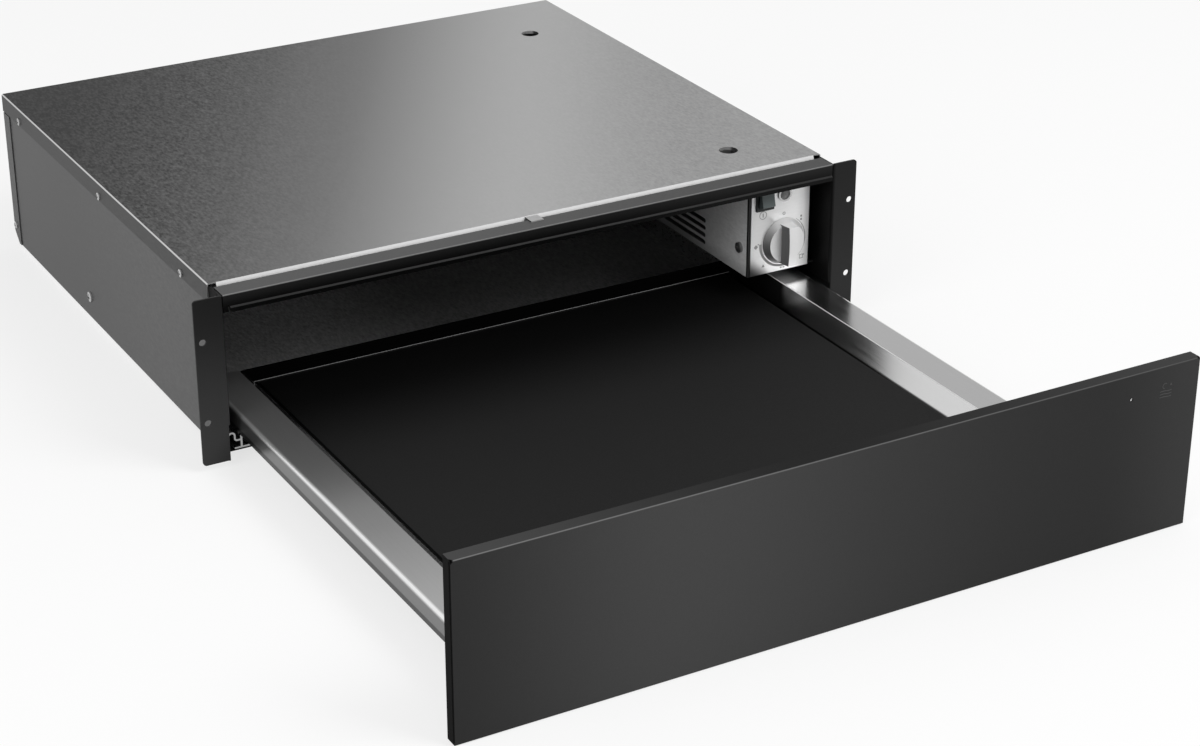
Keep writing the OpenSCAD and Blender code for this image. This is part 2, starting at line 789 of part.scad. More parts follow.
// Rocker with a dished front, tipped to its off position
module switch_rocker() color("slategray")
    translate([switch_x, rocker_pivot_y, switch_z]) rotate([rocker_tilt, 0, 0]) {
        intersection() {
            across(-rocker_w / 2 + rocker_clear, rocker_w / 2 - rocker_clear)
                polygon([[-rocker_front, rocker_r], [-rocker_front + rocker_dip, 0],
                    [-rocker_front, -rocker_r], [rocker_back, -rocker_r], [rocker_back, rocker_r]]);
            rod_x(-rocker_w / 2, rocker_w / 2, 0, 0, rocker_r - rocker_clear);
        }
        rod_x(-rocker_w / 2 + rocker_clear - rocker_pin_l, rocker_w / 2 - rocker_clear + rocker_pin_l,
            0, 0, rocker_pin_r);
    }

// Ring and holder of the pilot lamp
module lamp_bezel() color("silver") difference() {
    union() {
        rod_y(lamp_x, plate_y - lamp_proud, plate_y, lamp_z, lamp_r);
        rod_y(lamp_x, plate_y, plate_y + lamp_body_l, lamp_z, lamp_body_r);
    }
    rod_y(lamp_x, plate_y - lamp_proud - overrun, plate_y + lamp_proud, lamp_z, lamp_lens_r);
}

module lamp_lens() color("gainsboro")
    translate([lamp_x, plate_y - lamp_proud, lamp_z]) rotate([-90, 0, 0])
        intersection() {
            translate([0, 0, -lamp_proud / 2]) cylinder(r = lamp_lens_r - screw_clear, h = 2 * lamp_proud);
            translate([0, 0, 2 * lamp_lens_r - lamp_proud / 2]) sphere(r = 2 * lamp_lens_r);
        }

// Round knob with a grip bar across its face; the bar's front is bowed
knob_bar_top = knob_h - knob_off_plate;
knob_bow_r = (knob_bar_l * knob_bar_l / 4 + knob_bar_bow * knob_bar_bow) / (2 * knob_bar_bow);
module control_knob() color("silver")
    translate([knob_x, plate_y - knob_off_plate, knob_z]) rotate([90, 0, 0]) difference() {
        union() {
            cylinder(r1 = knob_r, r2 = knob_face_r, h = knob_skirt_h);
            intersection() {
                rotate([90, 0, 0]) linear_extrude(knob_bar_l, center = true)
                    polygon([[-knob_bar_w / 2, knob_skirt_h / 2], [knob_bar_w / 2, knob_skirt_h / 2],
                        [knob_bar_front_w / 2, knob_bar_top], [-knob_bar_front_w / 2, knob_bar_top]]);
                translate([-knob_bar_w / 2, 0, knob_bar_top - knob_bow_r]) rotate([0, 90, 0])
                    cylinder(r = knob_bow_r, h = knob_bar_w);
            }
        }
        translate([0, 0, -overrun]) cylinder(r = shaft_r + shaft_clear / 2, h = shaft_front + overrun);
    }

module knob_shaft() color("gold")
    rod_y(knob_x, plate_y - knob_off_plate - shaft_front + fit_clear, front_y + shaft_back, knob_z, shaft_r);

// Thermostat behind the control plate
module heat_regulator() color("ivory") difference() {
    union() {
        span([knob_x - regulator_size / 2, knob_x + regulator_size / 2],
            [front_y + regulator_front, front_y + regulator_front + regulator_l],
            [knob_z - regulator_size / 2, knob_z + regulator_size / 2]);
        rod_y(knob_x, plate_y, front_y + regulator_front, knob_z, bush_r);
    }
    rod_y(knob_x, plate_y - overrun, front_y + shaft_back + fit_clear, knob_z, shaft_r + shaft_clear);
}

// Supply terminals on the floor of the control box
terminal_x = pan_in_x - sheet_t - terminal_w;
module terminal_block() color("white") difference() {
    span([terminal_x, terminal_x + terminal_w], [terminal_y, terminal_y + terminal_l],
        [box_floor_z, box_floor_z + terminal_h]);
    for (i = [0:2])
        translate([terminal_x + terminal_w / 4, terminal_y + terminal_l * (i + 1 / 2) / 3,
            box_floor_z + terminal_wall])
            cylinder(r = terminal_screw_r, h = terminal_h);
}

// Gland for the supply cord, in the rear panel
module cable_gland() color("black") difference() {
    union() {
        rod_y(gland_x, rear_out_y, rear_out_y + gland_flange_t, gland_z, gland_flange_r);
        rod_y(gland_x, rear_out_y, rear_out_y + gland_flange_t + gland_cap_l, gland_z, gland_cap_r);
        rod_y(gland_x, rear_out_y - gland_seat_t - gland_inner_l, rear_out_y, gland_z, gland_r);
    }
    rod_y(gland_x, rear_out_y - gland_seat_t - gland_inner_l - overrun,
        rear_out_y + gland_flange_t + gland_cap_l + overrun, gland_z, cable_r);
}

module gland_nut() color("dimgray") difference() {
    translate([gland_x, rear_in_y, gland_z]) rotate([90, 0, 0])
        cylinder(r = gland_nut_r, h = gland_nut_t, $fn = hex_sides);
    rod_y(gland_x, rear_in_y - gland_nut_t - overrun, rear_in_y + overrun, gland_z, gland_r + screw_clear);
}

// Drum of the circulation fan, with an inlet towards the slots and an outlet to the heater
module fan_shell(inset) {
    rod_x(fan_x + inset, fan_x + fan_w - inset, fan_y, fan_z, fan_r - inset);
    span([fan_x + inset, fan_x + fan_w - inset], [fan_y - fan_outlet_l - (inset > 0 ? overrun : 0), fan_y],
        [fan_z + fan_r - fan_outlet_h + inset, fan_z + fan_r - inset]);
}
module fan_housing() color("lightgray") difference() {
    union() {
        fan_shell(0);
        for (y = [fan_y - fan_r / 2, fan_y + fan_r / 2])
            span([fan_x, fan_x + fan_w], [y - fan_t, y + fan_t], [box_floor_z, fan_z - fan_r / 2]);
    }
    fan_shell(fan_t);
    rod_x(fan_x - overrun, fan_x + fan_w / 2, fan_y, fan_z, fan_inlet_r);
    rod_x(fan_x + fan_w / 2, fan_x + fan_w + overrun, fan_y, fan_z, motor_hub_r + fit_clear);
}

// Bladed wheel of the fan
wheel_x = fan_x + fan_t + wheel_gap;
wheel_end_x = fan_x + fan_w - fan_t - wheel_gap;
module fan_wheel() color("silver") difference() {
    union() {
        rod_x(wheel_end_x - wheel_disc_t, wheel_end_x, fan_y, fan_z, wheel_r);
        rod_x(wheel_end_x - hub_l, wheel_end_x, fan_y, fan_z, hub_r);
        for (i = [0:wheel_blades - 1])
            translate([wheel_x, fan_y, fan_z]) rotate([i * 360 / wheel_blades, 0, 0])
                translate([0, 0, wheel_r - blade_l]) rotate([blade_turn, 0, 0])
                    translate([0, -blade_t / 2, 0]) cube([wheel_end_x - wheel_x, blade_t, blade_l]);
        difference() {
            rod_x(wheel_x, wheel_x + wheel_disc_t, fan_y, fan_z, wheel_r);
            rod_x(wheel_x - overrun, wheel_x + wheel_disc_t + overrun, fan_y, fan_z, wheel_r - blade_l);
        }
    }
    rod_x(wheel_end_x - hub_l - overrun, wheel_end_x + overrun, fan_y, fan_z,
        motor_shaft_r + shaft_clear / 2);
}

motor_x = fan_x + fan_w;
module fan_shaft() color("gold")
    rod_x(wheel_end_x - hub_l, motor_x + motor_l / 2, fan_y, fan_z, motor_shaft_r);

module fan_motor() color("dimgray") difference() {
    union() {
        rod_x(motor_x, motor_x + motor_l, fan_y, fan_z, motor_r);
        rod_x(motor_x - motor_hub_l, motor_x, fan_y, fan_z, motor_hub_r);
    }
    rod_x(motor_x - motor_hub_l - overrun, motor_x + motor_l / 2 + fit_clear, fan_y, fan_z,
        motor_shaft_r + shaft_clear);
}

// Tubular element behind the front vent slots, held by a plate on the partition
heater_y = partition_front_y + partition_t;
heater_run_y = heater_y + heater_plate_t + heater_front;
heater_pitch = 2 * heater_bend_r;
heater_top_z = heater_z + heater_pitch * (heater_runs - 1);
module heater_bend(y, z, turn) {
    translate([heater_x, y, z]) rotate([turn, 0, 0]) rotate([0, 90, 0])
        rotate_extrude(angle = 180)
            translate([heater_bend_r, 0]) circle(heater_r - heater_bend_thinning);
}
module air_heater() color("dimgray") {
    span([heater_x - heater_plate_margin, heater_x + heater_plate_margin],
        [heater_y, heater_y + heater_plate_t],
        [heater_z - heater_plate_margin, heater_top_z + heater_plate_margin]);
    for (i = [0:heater_runs - 1]) {
        start = (i == 0 || i == heater_runs - 1) ? heater_y + heater_plate_t : heater_run_y + heater_bend_r;
        rod_y(heater_x, start, heater_run_y + heater_l, heater_z + i * heater_pitch, heater_r);
    }
    for (i = [0:2:heater_runs - 2])
        heater_bend(heater_run_y + heater_l, heater_z + (i + 1 / 2) * heater_pitch, 0);
    for (i = [1:2:heater_runs - 3])
        heater_bend(heater_run_y + heater_bend_r, heater_z + (i + 1 / 2) * heater_pitch, 180);
}

module thermal_cutout() color("silver")
    rod_y(heater_x, partition_back_y - cutout_h, partition_back_y, box_floor_z + cutout_rise, cutout_r);

// Wiring from the terminals to the controls, clipped along the casing's side
switch_back_y = plate_y + switch_body_l;
module wiring_loom() color("white") {
    rod_y(loom_x, loom_front_y, loom_back_y, loom_z, loom_r);
    for (y = [loom_front_y, loom_back_y]) translate([loom_x, y, loom_z]) sphere(loom_r);
    translate([loom_x, loom_back_y, box_floor_z + terminal_h])
        cylinder(r = loom_r, h = loom_z - box_floor_z - terminal_h);
    translate([loom_x, loom_front_y, knob_z]) cylinder(r = loom_r, h = loom_z - knob_z);
    translate([loom_x, loom_front_y, knob_z]) sphere(loom_r);
    rod_x(knob_x + regulator_size / 2, loom_x, loom_front_y, knob_z, loom_r);
    rod_x(switch_x, loom_x, loom_front_y, switch_z, loom_r);
    translate([switch_x, loom_front_y, switch_z]) sphere(loom_r);
    rod_y(switch_x, switch_back_y, loom_front_y, switch_z, loom_r);
}

module loom_clips() color("white")
    for (spot = [casing_screw_spots[0], casing_screw_spots[1]]) {
        y = spot[0] + clip_behind_screw;
        difference() {
            span([loom_x - loom_r - clip_wall, pan_in_x], [y, y + clip_l],
                [loom_z - loom_r - clip_wall, loom_z + loom_r + clip_wall]);
            rod_y(loom_x, y - overrun, y + clip_l + overrun, loom_z, loom_r + screw_clear);
        }
    }

// Grooves that the slide balls run in, at one height
module ball_grooves(z, y0, y1) {
    for (side = [-1, 1]) rod_y(rail_x + side * ball_x, y0 - overrun, y1 + overrun, z, groove_r);
}

// Slide member fixed to the casing: a trough whose folded edge has lugs on the casing's side
hook_x = pan_in_x - hook_side;
hook_arch_z = hook_top_z - hook_t - hook_in_r;
hook_elbow_x = hook_x - hook_in_r - hook_t - hook_elbow_r;
hook_elbow_z = hook_web_z + hook_t + hook_elbow_r;
module fixed_rail(side) color("silver") sided(side) difference() {
    union() {
        along(rail_y, rail_end_y) {
            translate([rail_x - outer_half_w, rail_floor_z]) square([2 * outer_half_w + rail_foot_w, rail_t]);
            for (x = [rail_x - outer_half_w, rail_x + outer_half_in])
                translate([x, rail_floor_z]) square([rail_t, fixed_wall_z - rail_floor_z]);
            translate([rail_x + outer_half_in, hook_web_z])
                square([hook_elbow_x - rail_x - outer_half_in, hook_t]);
            translate([hook_elbow_x, hook_elbow_z]) bend(hook_elbow_r, hook_t, 1, -1);
            translate([hook_x - hook_in_r - hook_t, hook_elbow_z])
                square([hook_t, hook_arch_z - hook_elbow_z]);
            for (x_side = [-1, 1]) translate([hook_x, hook_arch_z]) bend(hook_in_r, hook_t, x_side, 1);
            translate([hook_x + hook_in_r, hook_leg_z]) square([hook_t, hook_arch_z - hook_leg_z]);
        }
        for (y = slide_screw_ys) {
            span([hook_x + hook_in_r, pan_in_x], [y - lug_l / 2, y + lug_l / 2], [lug_z, lug_z + hook_t]);
            span([pan_in_x - hook_t, pan_in_x], [y - lug_l / 2, y + lug_l / 2], [lug_z, lug_top_z]);
        }
    }
    ball_grooves(lower_row_z, rail_y, rail_end_y);
    for (y = slide_screw_ys)
        rod_x(pan_in_x - hook_t - overrun, pan_in_x + overrun, y, slide_screw_z, slide_shank_r + screw_clear);
}

// Middle slide member: two walls joined by a web
module middle_rail(side) color("silver") drawer_out(1 / 2) sided(side) difference() {
    along(middle_y, rail_end_y - middle_short) {
        for (x = [rail_x - middle_half_w, rail_x + middle_half_w - rail_t])
            translate([x, middle_z]) square([rail_t, middle_h]);
        translate([rail_x - middle_half_w, middle_web_z - rail_t / 2]) square([2 * middle_half_w, rail_t]);
    }
    ball_grooves(lower_row_z, middle_y, rail_end_y);
    ball_grooves(upper_row_z, middle_y, rail_end_y);
}

// Slide member fixed under the tray's flange, with a stop tab at its back end
module drawer_rail(side) color("silver") drawer_out(1) sided(side) difference() {
    union() {
        along(drawer_rail_y, drawer_rail_end_y) {
            translate([rail_x - outer_half_w, rail_under_flange_z - rail_t])
                square([2 * outer_half_w, rail_t]);
            for (x = [rail_x - outer_half_w, rail_x + outer_half_in])
                translate([x, drawer_wall_z]) square([rail_t, rail_under_flange_z - drawer_wall_z]);
        }
        span([rail_x - stop_tab_w / 2, rail_x + stop_tab_w / 2],
            [drawer_rail_end_y - rail_t, drawer_rail_end_y],
            [rail_under_flange_z - stop_tab_h, rail_under_flange_z]);
    }
    ball_grooves(upper_row_z, drawer_rail_y, drawer_rail_end_y);
}

// Ball cages: a channel round the middle member, with a pocket for every ball
cage_y = middle_y + travel / 4 + cage_margin;
lower_cage_end_y = rail_end_y - middle_short - travel / 4 - cage_margin;
upper_cage_end_y = drawer_rail_end_y - travel / 4 - cage_margin;
function ball_y(i, end_y) = cage_y + (end_y - cage_y) * (i + 1 / 2) / balls_per_row;
module cage(side, z, web_z, end_y) color("goldenrod") sided(side) difference() {
    along(cage_y, end_y) {
        translate([rail_x - ball_x - cage_t / 2, web_z]) square([2 * ball_x + cage_t, cage_t]);
        for (x = [rail_x - ball_x, rail_x + ball_x])
            translate([x - cage_t / 2, min(web_z, z - cage_h / 2)])
                square([cage_t, max(z + cage_h / 2, web_z + cage_t) - min(web_z, z - cage_h / 2)]);
    }
    for (x = [rail_x - ball_x, rail_x + ball_x])
        for (i = [0:balls_per_row - 1])
            rod_x(x - cage_t, x + cage_t, ball_y(i, end_y), z, ball_r + ball_clear);
}
module balls(side, z, end_y) color("white") sided(side)
    for (x = [rail_x - ball_x, rail_x + ball_x])
        for (i = [0:balls_per_row - 1])
            translate([x, ball_y(i, end_y), z]) sphere(ball_r);

// Push-to-open latch behind each fixed slide member
latch_top_z = rail_under_flange_z - latch_top_gap;
plunger_y = drawer_rail_end_y + fit_clear;
plunger_z = rail_under_flange_z - stop_tab_h / 2 - rail_t;
module push_latch(side) color("dimgray") sided(side) difference() {
    span([rail_x - latch_w / 2, rail_x + latch_w / 2], [rail_end_y, rail_end_y + latch_l],
        [rail_floor_z, latch_top_z]);
    rod_y(rail_x, rail_end_y - overrun, plunger_y + plunger_l + push_stroke + slide_gap, plunger_z,
        plunger_r + plunger_bore_clear);
}
module latch_plunger(side) color("white") sided(side)
    rod_y(rail_x, plunger_y, plunger_y + plunger_l, plunger_z, plunger_r);

function arc(centre, r, from, to, steps) =
    [for (i = [0:steps]) let (turn = from + (to - from) * i / steps) centre + r * [cos(turn), sin(turn)]];

// Right half of the tray's section: floor, sloping wall, flange, round fold and strip
fold_centre = [tray_out_x - tray_fold_r, flange_z - tray_fold_r];
fold_steps = 8;
tray_half = concat(
    [[0, tray_floor_z], [tray_floor_x, tray_floor_z], [tray_fold_x, flange_z]],
    arc(fold_centre, tray_fold_r, 90, 0, fold_steps),
    [[tray_out_x, strip_z], [tray_out_x - tray_t, strip_z]],
    arc(fold_centre, tray_fold_r - tray_t, 0, 90, fold_steps),
    [[tray_fold_x + miter * tray_t, flange_z - tray_t],
        [tray_floor_x + miter * tray_t, tray_floor_z - tray_t], [0, tray_floor_z - tray_t]]);

// Stainless drawer tray, with the wall that the front panel is screwed to
module tray_pan() color("lightgray") drawer_out(1) difference() {
    union() {
        for (side = [-1, 1]) sided(side) along(closed_back_y, tray_end_y) polygon(tray_half);
        span([-tray_out_x + tray_fold_r, tray_out_x - tray_fold_r], [closed_back_y, closed_back_y + tray_t],
            [strip_z, flange_z - tray_t / 2]);
    }
    for (share = panel_screw_shares)
        rod_y(share * tray_floor_x, closed_back_y - overrun, closed_back_y + tray_t + overrun, panel_screw_z,
            screw_shank_r + screw_clear);
}

// Upright back of the tray, with a hem along its top
rear_wall_top_z = flange_z - rear_wall_drop;
rear_wall_y = tray_end_y - rear_hem - tray_t;
module tray_rear_wall() color("dimgray") drawer_out(1) {
    along(rear_wall_y, rear_wall_y + tray_t)
        polygon([[-tray_floor_x, tray_floor_z], [tray_floor_x, tray_floor_z],
            [tray_fold_x - rear_wall_drop, rear_wall_top_z],
            [rear_wall_drop - tray_fold_x, rear_wall_top_z]]);
    across(-tray_floor_x, tray_floor_x)
        translate([rear_wall_y - rear_foot_r, tray_floor_z + tray_t + rear_foot_r])
            bend(rear_foot_r, tray_t, 1, -1);
    span([rear_wall_drop + tray_t - tray_fold_x, tray_fold_x - rear_wall_drop - tray_t],
        [rear_wall_y, rear_wall_y + tray_t + rear_hem], [rear_wall_top_z - tray_t, rear_wall_top_z]);
}

module tray_mat() color("black") drawer_out(1)
    span([mat_gap - tray_floor_x, tray_floor_x - mat_gap],
        [closed_back_y + tray_t + screw_head_h + fit_clear, rear_wall_y - rear_foot_r - fit_clear],
        [tray_floor_z, tray_floor_z + mat_t]);

// Black steel skin of the front panel, folded back on all four sides
panel_y = closed_back_y - panel_t;
module skin_outline(inset) {
    translate([panel_y + inset, panel_z + inset]) {
        square([panel_t - inset + (inset > 0 ? overrun : 0), panel_h - 2 * inset]);
    }
}
module panel_skin() color("darkslategray") drawer_out(1) difference() {
    across(-panel_half_w, panel_half_w) difference() {
        skin_outline(0);
        for (z = [panel_z, panel_top_z - skin_edge_r]) translate([panel_y, z]) difference() {
            square(skin_edge_r);
            translate([skin_edge_r, z > panel_z ? 0 : skin_edge_r]) circle(skin_edge_r);
        }
    }
    across(-panel_half_w + skin_t, panel_half_w - skin_t) skin_outline(skin_t);
    for (side = [-1, 1])
        span([side * panel_half_w - seam_depth / 2, side * panel_half_w + seam_depth / 2],
            [panel_y + skin_t, panel_y + skin_t + seam_w], [panel_z + skin_t, panel_top_z - skin_t]);
    rod_y(lamp_x, panel_y - overrun, panel_y + skin_t + overrun, lamp_z, guide_r + screw_clear);
}

// Steel carrier inside the panel
carrier_x = panel_half_w - skin_t - carrier_gap;
panel_screw_z = tray_floor_z + mat_t + screw_head_r + fit_clear;
module panel_carrier() color("darkgray") drawer_out(1) difference() {
    span([-carrier_x, carrier_x], [panel_y + skin_t, closed_back_y],
        [panel_z + skin_t + carrier_gap, panel_top_z - skin_t - carrier_gap]);
    span([-carrier_x + carrier_t, carrier_x - carrier_t],
        [panel_y + skin_t - overrun, closed_back_y - carrier_t],
        [panel_z + skin_t + carrier_gap + carrier_t, panel_top_z - skin_t - carrier_gap - carrier_t]);
    rod_y(lamp_x, closed_back_y - carrier_t - overrun, closed_back_y + overrun, lamp_z,
        guide_r + screw_clear);
    for (share = panel_screw_shares)
        rod_y(share * tray_floor_x, closed_back_y - carrier_t - overrun, closed_back_y + overrun,
            panel_screw_z, screw_shank_r + screw_clear);
}

module panel_screws() color("silver") drawer_out(1)
    for (share = panel_screw_shares)
        translate([share * tray_floor_x, closed_back_y + tray_t, panel_screw_z]) rotate([-90, 0, 0])
            screw(screw_head_r, screw_head_h, screw_shank_r, tray_t + panel_screw_l);

// Clear rod that brings the pilot lamp's light to the panel's front
module light_guide() color("white") drawer_out(1) {
    rod_y(lamp_x, panel_y + guide_recess, closed_back_y, lamp_z, guide_r);
    rod_y(lamp_x, panel_y + skin_t, panel_y + skin_t + guide_collar_h, lamp_z, guide_collar_r);
}

module panel_bumpers() color("black") drawer_out(1)
    for (side = [-1, 1])
        for (z = [ear_z + bumper_inset, ear_top_z - panel_drop - bumper_inset])
            rod_y(side * (frame_in_x + bumper_inset), closed_back_y, frame_y - fit_clear, z, bumper_r);

base_pan();
top_cover();
rear_panel();
front_crossbar();
ear(-1);  // left_ear
ear(1);  // right_ear
casing_screws();
frame_screws();
slide_screws();
control_box();
box_partitions();
control_bezel();
control_plate();
box_screws();
switch_body();
switch_rocker();
lamp_bezel();
lamp_lens();
control_knob();
knob_shaft();
heat_regulator();
terminal_block();
cable_gland();
gland_nut();
fan_housing();
fan_wheel();
fan_shaft();
fan_motor();
air_heater();
thermal_cutout();
wiring_loom();
loom_clips();
fixed_rail(-1);  // fixed_rail_left
fixed_rail(1);  // fixed_rail_right
middle_rail(-1);  // middle_rail_left
middle_rail(1);  // middle_rail_right
drawer_rail(-1);  // drawer_rail_left
drawer_rail(1);  // drawer_rail_right
drawer_out(1 / 4) cage(-1, lower_row_z, lower_cage_z, lower_cage_end_y);  // lower_cage_left
drawer_out(1 / 4) cage(1, lower_row_z, lower_cage_z, lower_cage_end_y);  // lower_cage_right
drawer_out(3 / 4) cage(-1, upper_row_z, upper_cage_z, upper_cage_end_y);  // upper_cage_left
drawer_out(3 / 4) cage(1, upper_row_z, upper_cage_z, upper_cage_end_y);  // upper_cage_right
drawer_out(1 / 4) balls(-1, lower_row_z, lower_cage_end_y);  // lower_balls_left
drawer_out(1 / 4) balls(1, lower_row_z, lower_cage_end_y);  // lower_balls_right
drawer_out(3 / 4) balls(-1, upper_row_z, upper_cage_end_y);  // upper_balls_left
drawer_out(3 / 4) balls(1, upper_row_z, upper_cage_end_y);  // upper_balls_right
push_latch(-1);  // push_latch_left
push_latch(1);  // push_latch_right
latch_plunger(-1);  // latch_plunger_left
latch_plunger(1);  // latch_plunger_right
tray_pan();
tray_rear_wall();
tray_mat();
panel_skin();
panel_carrier();
panel_screws();
light_guide();
panel_bumpers();
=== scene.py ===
"""A built-in warming drawer, fully open: finishes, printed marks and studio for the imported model."""

import json
import math

import bmesh
import bpy
from mathutils import Matrix, Vector


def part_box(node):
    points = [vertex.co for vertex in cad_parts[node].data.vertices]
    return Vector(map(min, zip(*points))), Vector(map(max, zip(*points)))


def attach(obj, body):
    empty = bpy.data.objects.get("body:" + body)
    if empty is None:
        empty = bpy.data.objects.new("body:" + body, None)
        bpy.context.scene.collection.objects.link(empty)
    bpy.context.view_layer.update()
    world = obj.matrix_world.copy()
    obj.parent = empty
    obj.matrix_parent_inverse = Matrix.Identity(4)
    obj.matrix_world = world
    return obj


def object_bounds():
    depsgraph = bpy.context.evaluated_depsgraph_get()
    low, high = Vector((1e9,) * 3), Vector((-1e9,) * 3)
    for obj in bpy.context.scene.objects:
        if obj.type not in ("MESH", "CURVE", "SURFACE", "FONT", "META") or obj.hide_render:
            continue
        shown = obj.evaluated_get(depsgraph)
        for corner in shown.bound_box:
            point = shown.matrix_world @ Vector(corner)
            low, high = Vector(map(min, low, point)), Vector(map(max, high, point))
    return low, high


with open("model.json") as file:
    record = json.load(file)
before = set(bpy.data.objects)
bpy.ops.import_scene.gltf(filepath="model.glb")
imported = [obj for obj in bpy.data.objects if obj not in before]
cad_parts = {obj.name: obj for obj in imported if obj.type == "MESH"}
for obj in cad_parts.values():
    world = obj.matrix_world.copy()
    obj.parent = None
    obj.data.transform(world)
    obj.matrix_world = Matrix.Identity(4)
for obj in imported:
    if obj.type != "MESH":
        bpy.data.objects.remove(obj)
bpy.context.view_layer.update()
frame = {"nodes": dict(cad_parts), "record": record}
MM = 0.001

# Camera: the photograph's view
LENS_MM = 81.42
SENSOR_MM = 36.0
CAMERA_PLACE = Vector((-0.9295, -1.99155, 0.9517))
VIEW_AZIMUTH = math.radians(-29.51)
VIEW_ELEVATION = math.radians(25.62)


def added(name, data):
    """A new object in the scene."""
    obj = bpy.data.objects.new(name, data)
    bpy.context.scene.collection.objects.link(obj)
    return obj


def make_camera():
    camera = added("camera", bpy.data.cameras.new("camera"))
    camera.data.lens = LENS_MM
    camera.data.sensor_width = SENSOR_MM
    camera.data.sensor_fit = "HORIZONTAL"
    back = Vector((
        math.sin(VIEW_AZIMUTH) * math.cos(VIEW_ELEVATION),
        -math.cos(VIEW_AZIMUTH) * math.cos(VIEW_ELEVATION),
        math.sin(VIEW_ELEVATION),
    ))
    right = Vector((math.cos(VIEW_AZIMUTH), math.sin(VIEW_AZIMUTH), 0))
    up = back.cross(right)
    turn = Matrix((right, up, back)).transposed().to_4x4()
    camera.matrix_world = Matrix.Translation(CAMERA_PLACE) @ turn
    bpy.context.scene.camera = camera


make_camera()

# Directions in the part's frame
UP = (0, 0, 1)
FRONT = (0, -1, 0)
BACK = (0, 1, 0)
LEFT = (-1, 0, 0)
RIGHT = (1, 0, 0)
HALF = math.sqrt(0.5)
UP_FRONT = (0, -HALF, HALF)
UP_LEFT = (-HALF, 0, HALF)

# A Mix node's inputs for a factor of 0 and of 1, and its output
MIX_SOCKETS = {"FLOAT": (2, 3, 0), "RGBA": (6, 7, 2)}
NOISE_DETAIL = 2.0
NOISE_LOW, NOISE_HIGH = 0.3, 0.7
# Cosines at which a face starts to look in a direction, and looks fully in it
TURN_START, TURN_END = 0.55, 0.85


def grey(value):
    return (value, value, value)


